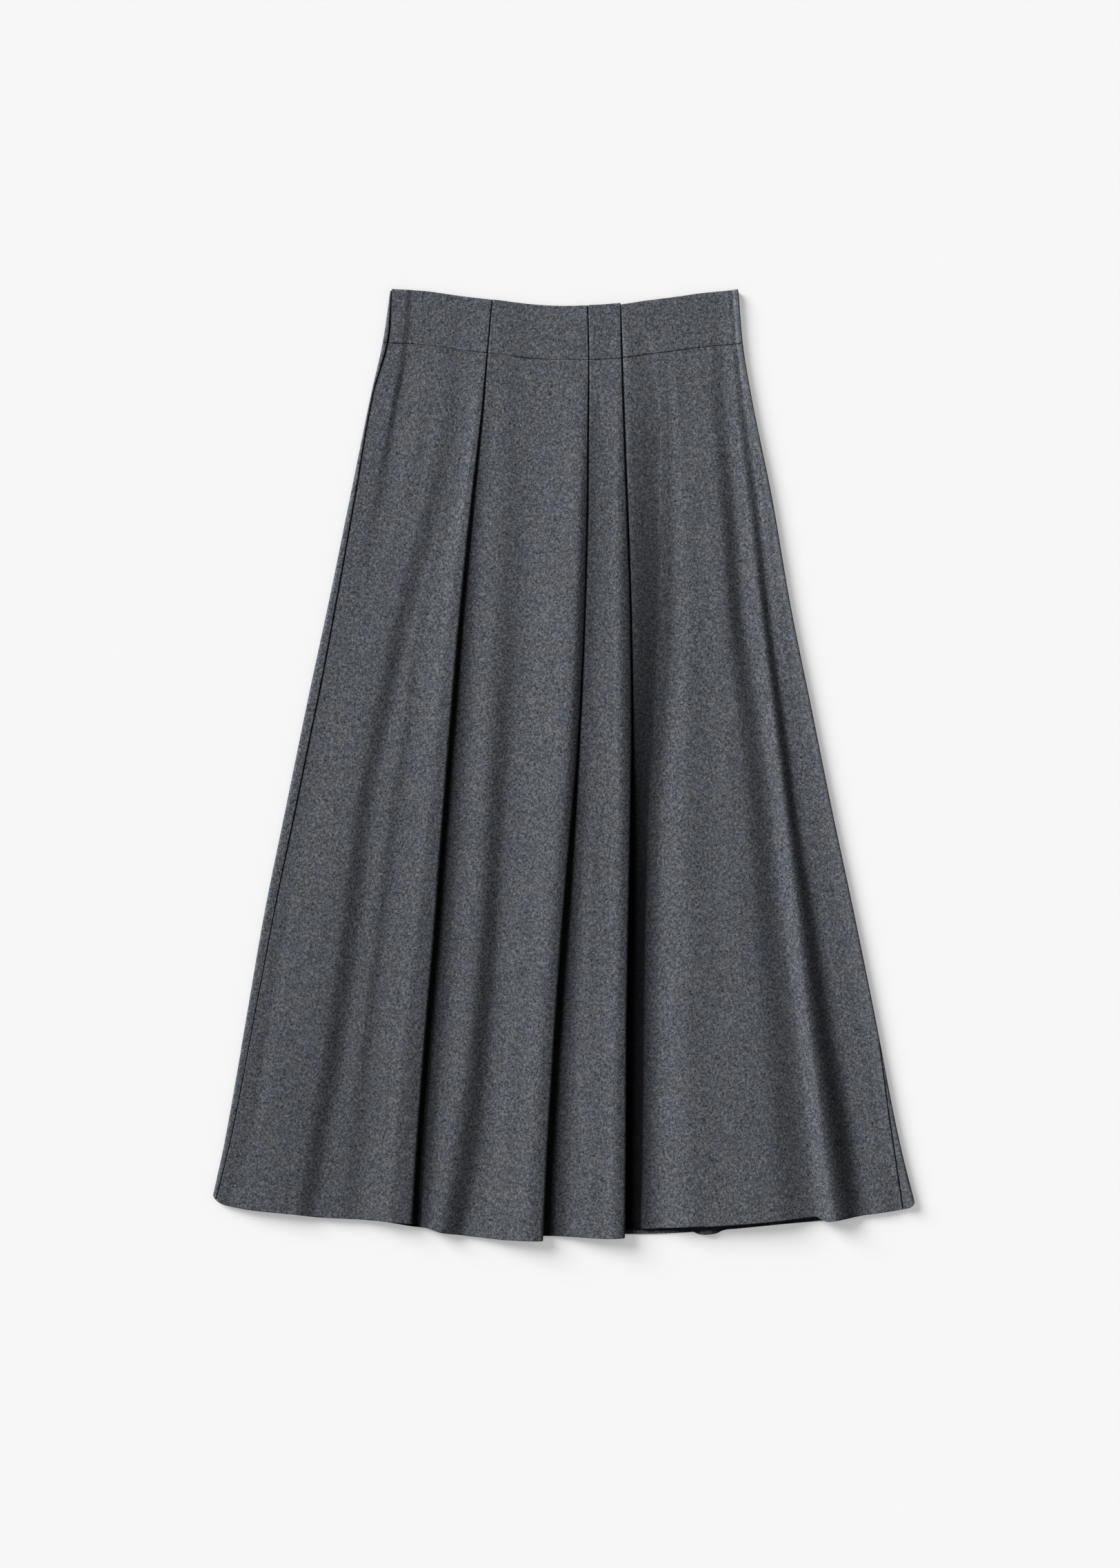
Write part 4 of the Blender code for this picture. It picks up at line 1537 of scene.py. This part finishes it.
def wall_sides(section: np.ndarray, half_thickness: np.ndarray) -> tuple[np.ndarray, np.ndarray]:
    """Offset a section to each side, mitred at its corners.

    Its first and last points only set the angle of its cut edges.

    Args:
        section: The section's points.
        half_thickness: Half the thickness at each point but the first and the last.

    Returns:
        Offsets and levels on the upper side and on the lower side.
    """
    line = section[:, :2]
    steps = np.diff(line, axis=0)
    steps /= np.maximum(np.linalg.norm(steps, axis=1, keepdims=True), SHORTEST_STEP)
    normals = np.stack([-steps[:, 1], steps[:, 0]], axis=1)
    corner = normals[:-1] + normals[1:]
    corner /= 1 + np.sum(normals[:-1] * normals[1:], axis=1, keepdims=True)
    reach = corner * half_thickness[:, None]
    return line[1:-1] + reach, line[1:-1] - reach


def shell_faces(rows: int, columns: int) -> np.ndarray:
    """Corners of the faces of a closed wall between two grids of points.

    Args:
        rows: Rows of each grid.
        columns: Points in each row.

    Returns:
        Four corners for each face, all facing out.
    """
    upper = np.arange(rows * columns).reshape(rows, columns)
    lower = upper + rows * columns
    top = np.stack([upper[:-1, :-1], upper[1:, :-1], upper[1:, 1:], upper[:-1, 1:]], axis=-1)
    bottom = np.stack([lower[:-1, :-1], lower[:-1, 1:], lower[1:, 1:], lower[1:, :-1]], axis=-1)
    first = np.stack([upper[0, :-1], upper[0, 1:], lower[0, 1:], lower[0, :-1]], axis=-1)
    last = np.stack([upper[-1, 1:], upper[-1, :-1], lower[-1, :-1], lower[-1, 1:]], axis=-1)
    left = np.stack([upper[:-1, 0], lower[:-1, 0], lower[1:, 0], upper[1:, 0]], axis=-1)
    right = np.stack([upper[:-1, -1], upper[1:, -1], lower[1:, -1], lower[:-1, -1]], axis=-1)
    return np.concatenate([part.reshape(-1, 4) for part in (top, bottom, first, last, left, right)])


def add_piece(
    mesh: bpy.types.Mesh, finish: bpy.types.Material, sharp: float | None
) -> bpy.types.Object:
    """Shade a mesh smoothly and add it to the scene.

    Args:
        mesh: The mesh, whose name becomes the piece's name.
        finish: The piece's material.
        sharp: Angle in degrees above which an edge is shaded sharp, if any is.

    Returns:
        The piece.
    """
    mesh.shade_smooth()
    if sharp is not None:
        mesh.set_sharp_from_angle(angle=math.radians(sharp))
    mesh.materials.append(finish)
    piece = bpy.data.objects.new(mesh.name, mesh)
    bpy.context.scene.collection.objects.link(piece)
    return piece


def mesh_piece(
    name: str, places: Any, faces: Any, finish: bpy.types.Material, sharp: float | None = SHARP
) -> bpy.types.Object:
    """Make one piece from its corners and faces.

    Args:
        name: The piece's name.
        places: Corners in metres.
        faces: Corner numbers of each face.
        finish: The piece's material.
        sharp: Angle in degrees above which an edge is shaded sharp, if any is.

    Returns:
        The piece, added to the scene.
    """
    mesh = bpy.data.meshes.new(name)
    mesh.from_pydata(places, [], faces)
    return add_piece(mesh, finish, sharp)


def rows_between(first: float, last: float, count: int) -> list[float]:
    """Rows of a piece of cloth, close together at its two cut edges.

    Args:
        first: Distance down of its first edge.
        last: Distance down of its last edge.
        count: How many even rows there are between the close ones, with one of each end.

    Returns:
        The rows' distances down.
    """
    start = [first + step for step in EDGE_STEPS]
    end = [last - step for step in EDGE_STEPS[::-1]]
    return [*start, *np.linspace(start[-1], end[0], count)[1:-1], *end]


@dataclass
class ClothPiece:
    """One cut piece of the flannel, or one of the zip's tapes."""

    name: str
    node: str
    ends: tuple[float, float]
    rows: int
    flat: tuple[float, float]
    area: float
    hold: Hold
    draw: Callable[[float], np.ndarray]
    form: Form
    rests_on: tuple[str, ...] = ()
    thickness: float | None = None
    slot: Slot = Slot.WOOL

    def build(self, finish: bpy.types.Material) -> bpy.types.Object:
        """Build the piece's closed wall.

        Args:
            finish: The cloth's material.

        Returns:
            The piece.
        """
        upper, lower, painted_tones = [], [], []
        rows = rows_between(*self.ends, self.rows)
        for down in rows:
            section = self.draw(down)
            kept = section[1:-1]
            steps = np.linalg.norm(np.diff(kept[:, :2], axis=0), axis=1)
            along = np.concatenate([[0], np.cumsum(steps)])
            sides = wall_sides(section, self.half_thickness(along, down))
            for grid, side in zip((upper, lower), sides):
                grid.append(self.form.place(side, down, kept[:, HEM], kept[:, TOP]))
            painted_tones.append(self.painted_tone(kept, along, down))
        places = np.concatenate([*upper, *lower])
        faces = shell_faces(len(rows), len(painted_tones[0]))
        piece = mesh_piece(self.name, places.tolist(), faces.tolist(), finish)
        # Store the painted shade, and the painted rim light below 0, for the cloth's material
        shade = piece.data.attributes.new("inside", "FLOAT", "POINT")
        shade.data.foreach_set("value", np.tile(np.concatenate(painted_tones), 2))
        return piece

    def half_thickness(self, along: np.ndarray, down: float) -> np.ndarray:
        """Half the cloth's thickness at a section's points, rounded off at the cut edges.

        Args:
            along: Length along the section at each point.
            down: Distance from the waist's top edge.

        Returns:
            One value for each point.
        """
        first, last = self.ends
        to_seam = np.minimum(along, along[-1] - along)
        to_cut = min(down - first, last - down)
        share = np.minimum(edge_thickness(to_seam), edge_thickness(to_cut))
        return share * (self.thickness or self.form.cloth_at(down)) / 2

    def painted_tone(self, kept: np.ndarray, along: np.ndarray, down: float) -> np.ndarray:
        """The painted shade at a section's points from folds, pleat mouths and seams, and below 0 the
        painted rim light along the outline.

        Args:
            kept: The section's points.
            along: Length along the section at each of them.
            down: Distance from the waist's top edge.

        Returns:
            One value for each point.
        """
        form = self.form
        offsets = kept[:, OFFSET]
        painted_tone = kept[:, PAINTED_SHADE].copy()
        sides = zip((along, along[-1] - along), (form.left_side, form.right_side))
        for which, (to_seam, outside) in enumerate(sides):
            # Painted shade in the seam's groove
            shade = value_at(form.seam_shades[which], down)
            painted_tone = np.maximum(painted_tone, shade * np.clip(1 - to_seam / SEAM_REACH, 0, 1))
            # Painted rim light along the outline, on this side's half only
            to_side = np.abs(value_at(outside, down) - offsets)
            light = value_at(form.painted_rim_lights[which], down) * np.clip(1 - to_side / form.painted_rim_reach, 0, 1)
            painted_tone = np.where((offsets > 0) == bool(which), painted_tone - light, painted_tone)
        # Painted shade along the waistband's lower seam
        if self.from_waist_line(down) > SEAM_REACH:
            return painted_tone
        return np.maximum(painted_tone, self.painted_waist_seam_shade(offsets, down))

    def from_waist_line(self, down: float) -> float:
        """Distance from a row to the nearer edge of the waistband's lower seam."""
        return abs(down - self.form.band_depth) - self.form.gap / 2

    def painted_waist_seam_shade(self, offsets: np.ndarray, down: float) -> np.ndarray:
        """The painted shade along the waistband's lower seam, as a thin broken line.

        Args:
            offsets: Offsets from the centre line.
            down: Distance from the waist's top edge.

        Returns:
            One value for each offset.
        """
        form = self.form
        dashes = offsets / form.waist_line_dash
        breaks = [noise.noise(Vector((dash, *WAIST_LINE_DRAW))) for dash in dashes]
        fade = np.interp(offsets, form.waist_line_places, form.waist_line_shades)
        line = np.clip(fade * (1 + form.waist_line_break * np.array(breaks)), 0, 1)
        return line * (1 - self.from_waist_line(down) / SEAM_REACH)

    def dress(self, piece: bpy.types.Object) -> None:
        """Tie the piece to the frame, and hide the part that it stands in for.

        Args:
            piece: The piece as it was built.
        """
        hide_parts(self.node)
        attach(piece, "root")


@dataclass
class Zip:
    """The metal slider and the nylon coil of the concealed zip.

    Sizes of the slider's blocks are across, along and up. Places along it are shares of
    its plate's length, and of the pull's length for the pull.
    """

    form: Form
    inset: float = 5.0
    coil_lift: float = 1.0
    coil_radius: float = 0.65
    wire: float = 0.2
    wire_sides: int = 5
    pitch: float = 1.6
    turn_points: int = 9
    coil_first: float = 26.0
    slider_down: float = 18.0
    slider_lift: float = 0.45
    plate: tuple[float, float, float] = (4.6, 7.0, 0.6)
    plate_gap: float = 1.5
    post: tuple[float, float] = (1.0, 1.6)
    post_place: float = 0.3
    flange: tuple[float, float] = (0.5, 0.8)
    flange_share: float = 0.7
    flange_place: float = -0.1
    flange_lift: float = 0.25
    bridge_foot: tuple[float, float, float] = (0.8, 0.7, 0.9)
    bridge_foot_place: float = 0.28
    bridge_bar: tuple[float, float] = (0.8, 0.4)
    bridge_bar_share: float = 0.7
    bridge_levels: tuple[float, float, float] = (0.25, 0.6, 0.2)
    pull: tuple[float, float, float] = (2.6, 8.0, 0.5)
    pull_place: float = -0.62
    rounding: float = 0.3
    sharp: float = 40.0

    def coil_place(self, down: float) -> Vector:
        """Middle of the coil.

        Args:
            down: Distance from the waist's top edge.

        Returns:
            Its place in metres.
        """
        form = self.form
        offset = value_at(form.left_side, down) + self.inset
        line = np.array([[offset, form.cloth_at(down) + self.coil_lift]])
        return Vector(form.place(line, down, np.array([form.left_hem]), np.array([0.0]))[0])

    def coil_ring(self, index: int) -> list[Vector]:
        """Corners round the coil's wire at one of its points.

        Args:
            index: The point's number from the top.

        Returns:
            The corners in metres.
        """
        turn = 2 * math.pi * index / self.turn_points
        out = Vector((math.cos(turn), 0, math.sin(turn)))
        down = self.coil_first + index * self.pitch / self.turn_points
        middle = self.coil_place(down) + out * self.coil_radius * MILLIMETRE
        angles = [2 * math.pi * side / self.wire_sides for side in range(self.wire_sides)]
        around = [out * math.cos(angle) + Vector((0, 1, 0)) * math.sin(angle) for angle in angles]
        return [middle + way * self.wire * MILLIMETRE for way in around]

    def build_coil(self, finish: bpy.types.Material) -> bpy.types.Object:
        """Wind the coil down the zip as one tube.

        Args:
            finish: The coil's material.

        Returns:
            The coil.
        """
        sides = self.wire_sides
        count = int((self.form.zip_length - self.coil_first) / self.pitch * self.turn_points)
        places = [corner for index in range(count) for corner in self.coil_ring(index)]
        last = (count - 1) * sides
        neighbours = [(side, (side + 1) % sides) for side in range(sides)]
        faces = [
            (ring + side, ring + other, ring + sides + other, ring + sides + side)
            for ring in range(0, last, sides)
            for side, other in neighbours
        ]
        caps = [tuple(range(sides))[::-1], tuple(range(last, last + sides))]
        coil = mesh_piece("zip_coil", places, [*faces, *caps], finish, None)
        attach(coil, "root")
        return coil

    def block(self, shape: bmesh.types.BMesh, middle: tuple[float, float, float], size: tuple) -> None:
        """Add a block with rounded edges to the slider.

        Args:
            shape: The slider so far.
            middle: The block's middle, across, along and up from the slider's middle.
            size: Its size in the same order.
        """
        matrix = Matrix.Translation(middle) @ Matrix.Diagonal((*size, 1))
        made = bmesh.ops.create_cube(shape, size=1, matrix=matrix)
        edges = {edge for corner in made["verts"] for edge in corner.link_edges}
        width = self.rounding * min(size)
        bmesh.ops.bevel(shape, geom=list(edges), offset=width, segments=3, profile=0.5, affect="EDGES")

    def blocks(self) -> list[tuple[tuple, tuple]]:
        """The slider's blocks: two plates on a post, two flanges, a bridge and a pull.

        Returns:
            Middle and size of each block.
        """
        width, length, thick = self.plate
        plate_level = (self.plate_gap + thick) / 2
        top = plate_level + thick / 2
        foot_level, bar_level, pull_level = (top + level for level in self.bridge_levels)
        flange_place = (width - self.flange[0]) / 2
        flange_size = (self.flange[0], self.flange_share * length, self.flange[1])
        flange_rest = (self.flange_place * length, self.flange_lift * self.plate_gap)
        foot_place = self.bridge_foot_place * length
        bar_size = (self.bridge_bar[0], self.bridge_bar_share * length, self.bridge_bar[1])
        return [
            ((0, 0, -plate_level), self.plate),
            ((0, 0, plate_level), self.plate),
            ((0, self.post_place * length, 0), (*self.post, self.plate_gap + thick)),
            ((-flange_place, *flange_rest), flange_size),
            ((flange_place, *flange_rest), flange_size),
            ((0, foot_place, foot_level), self.bridge_foot),
            ((0, -foot_place, foot_level), self.bridge_foot),
            ((0, 0, bar_level), bar_size),
            ((0, self.pull_place * self.pull[1], pull_level), self.pull),
        ]

    def build_slider(self, finish: bpy.types.Material) -> bpy.types.Object:
        """Build the slider, closed at the top of the zip with its pull lying down.

        Args:
            finish: The slider's metal.

        Returns:
            The slider.
        """
        shape = bmesh.new()
        for middle, size in self.blocks():
            self.block(shape, middle, size)
        upper = self.coil_place(self.slider_down - 1)
        lower = self.coil_place(self.slider_down + 1)
        lift = Vector((0, 0, self.slider_lift * MILLIMETRE))
        lean = math.atan2(lower.x - upper.x, upper.y - lower.y)
        place = Matrix.Translation((upper + lower) / 2 + lift) @ Matrix.Rotation(-lean, 4, "Z")
        shape.transform(place @ Matrix.Scale(MILLIMETRE, 4))
        mesh = bpy.data.meshes.new("zip_slider_body")
        shape.to_mesh(mesh)
        shape.free()
        slider = add_piece(mesh, finish, self.sharp)
        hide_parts("zip_slider")
        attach(slider, "root")
        return slider


@dataclass
class Studio:
    """Table, light and camera."""

    sun_elevation: float = 27.5
    sun_above_left: float = 40.0
    sun_size: float = 34.0
    sun_share: float = 0.93
    sky_share: float = 0.07
    overhead_energy: float = 1.72
    overhead_size: float = 170.0
    lens: float = 85.0
    sensor: float = 36.0
    table_reach: float = 3.0
    table_level: float = -0.0004
    lamp_distance: float = 3.0

    def build(self) -> None:
        """Build the table, the light and the camera."""
        self.table()
        self.lamps()
        self.camera()

    def table(self) -> None:
        """A wide pale table under the skirt, with a lamp that lights only the table."""
        reach = self.table_reach
        ways = ((-reach, -reach), (reach, -reach), (reach, reach), (-reach, reach))
        corners = [(*way, self.table_level) for way in ways]
        ground = mesh_piece("table_top", corners, [(0, 1, 2, 3)], PaleGround().make())
        only_ground = bpy.data.collections.new("only_ground")
        only_ground.objects.link(ground)
        overhead = self.sun("overhead", self.overhead_energy, self.overhead_size, Vector((0, 0, 1)))
        overhead.light_linking.receiver_collection = only_ground

    def sun(self, name: str, energy: float, size: float, to_lamp: Vector) -> bpy.types.Object:
        """Add a far lamp.

        Args:
            name: Its name.
            energy: Its strength.
            size: Its width as seen from the skirt, in degrees.
            to_lamp: The direction towards it.

        Returns:
            The lamp.
        """
        lamp = bpy.data.lights.new(name, "SUN")
        lamp.energy = energy
        lamp.angle = math.radians(size)
        holder = bpy.data.objects.new(name, lamp)
        holder.rotation_euler = to_lamp.to_track_quat("Z", "Y").to_euler()
        holder.location = to_lamp * self.lamp_distance
        bpy.context.scene.collection.objects.link(holder)
        return holder

    def lamps(self) -> None:
        """One big soft lamp from the upper left, and a faint even sky."""
        level = math.radians(self.sun_elevation)
        above = math.radians(self.sun_above_left)
        to_lamp = Vector(
            (-math.cos(level) * math.cos(above), math.cos(level) * math.sin(above), math.sin(level))
        )
        self.sun("window", math.pi * self.sun_share / math.sin(level), self.sun_size, to_lamp)
        sky = bpy.data.worlds.new("sky")
        sky.use_nodes = True
        sky.node_tree.nodes["Background"].inputs["Color"].default_value = (1, 1, 1, 1)
        sky.node_tree.nodes["Background"].inputs["Strength"].default_value = self.sky_share
        bpy.context.scene.world = sky
        bpy.context.scene.view_settings.view_transform = "Standard"

    def camera(self) -> None:
        """Look straight down on the skirt, framed as in the photograph."""
        eye = bpy.data.cameras.new("camera")
        eye.lens = self.lens
        eye.sensor_width = self.sensor
        holder = bpy.data.objects.new("camera", eye)
        tall = PHOTO_HEIGHT * MILLIMETRES_PER_PIXEL
        x = (PHOTO_WIDTH / 2 - CENTRE_LINE_U) * MILLIMETRES_PER_PIXEL
        y = (MIDDLE_V - PHOTO_HEIGHT / 2) * MILLIMETRES_PER_PIXEL
        holder.location = Vector((x, y, self.lens * tall / self.sensor)) * MILLIMETRE
        bpy.context.scene.collection.objects.link(holder)
        bpy.context.scene.camera = holder


def flannel_pieces(sections: Sections) -> list[ClothPiece]:
    """The skirt's four pieces of flannel.

    Args:
        sections: What draws their sections.

    Returns:
        The pieces, the front's first.
    """
    form = sections.form
    skirt = (form.band_depth + form.gap / 2, form.length)
    band = (0.0, form.band_depth - form.gap / 2)
    return [
        ClothPiece(
            name="front_skirt_cloth",
            node="front_skirt",
            ends=skirt,
            rows=SKIRT_ROWS,
            flat=(0.89, 0.86),
            area=0.545,
            hold=Hold.FOLDED,
            draw=sections.front,
            form=form,
            rests_on=("back_skirt_cloth",),
        ),
        ClothPiece(
            name="front_band_cloth",
            node="front_waistband",
            ends=band,
            rows=BAND_ROWS,
            flat=(0.39, 0.053),
            area=0.0199,
            hold=Hold.FOLDED,
            draw=sections.front,
            form=form,
            rests_on=("back_band_cloth",),
        ),
        ClothPiece(
            name="back_skirt_cloth",
            node="back_skirt",
            ends=skirt,
            rows=SKIRT_ROWS,
            flat=(0.68, 0.85),
            area=0.427,
            hold=Hold.LAID,
            draw=sections.back,
            form=form,
        ),
        ClothPiece(
            name="back_band_cloth",
            node="back_waistband",
            ends=band,
            rows=BAND_ROWS,
            flat=(0.352, 0.051),
            area=0.0172,
            hold=Hold.LAID,
            draw=sections.back,
            form=form,
        ),
    ]


def zip_tape(sections: Sections, side: str, lift: float, below: str) -> ClothPiece:
    """One of the zip's two tapes.

    Args:
        sections: What draws its sections.
        side: Which panel it is sewn to, "front" or "back".
        lift: How far it lies over the back.
        below: The piece that it rests on.

    Returns:
        The tape.
    """
    form = sections.form
    return ClothPiece(
        name=f"{side}_tape_weave",
        node=f"zip_tape_{side}",
        ends=(form.tape_first, form.zip_length),
        rows=TAPE_ROWS,
        flat=(0.0124, 0.194),
        area=0.0024,
        hold=Hold.LAID,
        draw=partial(sections.tape, lift=lift),
        form=form,
        rests_on=(below,),
        thickness=form.tape_thickness,
        slot=Slot.ZIP_TAPE,
    )


def report(piece: bpy.types.Object) -> None:
    """Report a finished piece."""
    LOG.info("%s: %d faces", piece.name, len(piece.data.polygons))


def main() -> None:
    """Build the skirt's pieces in order and report each one."""
    logging.basicConfig(level=logging.INFO, format="%(name)s: %(message)s")
    sections = Sections(Form())
    flannel = Flannel().make()
    weave = Weave(name="tape_weave", colour=(0.045, 0.050, 0.060)).make()
    back_tape = zip_tape(sections, "back", lift=0.35, below="back_skirt_cloth")
    front_tape = zip_tape(sections, "front", lift=0.90, below="back_tape_weave")
    for part in (*flannel_pieces(sections), back_tape, front_tape):
        piece = part.build(flannel if part.slot is Slot.WOOL else weave)
        part.dress(piece)
        report(piece)
    fastening = Zip(sections.form)
    nylon = Weave(name="coil_nylon", colour=(0.03, 0.033, 0.04), rib=0.4, roughness=0.45).make()
    report(fastening.build_coil(nylon))
    report(fastening.build_slider(Gunmetal().make()))
    Studio().build()


if __name__ == "__main__":
    main()
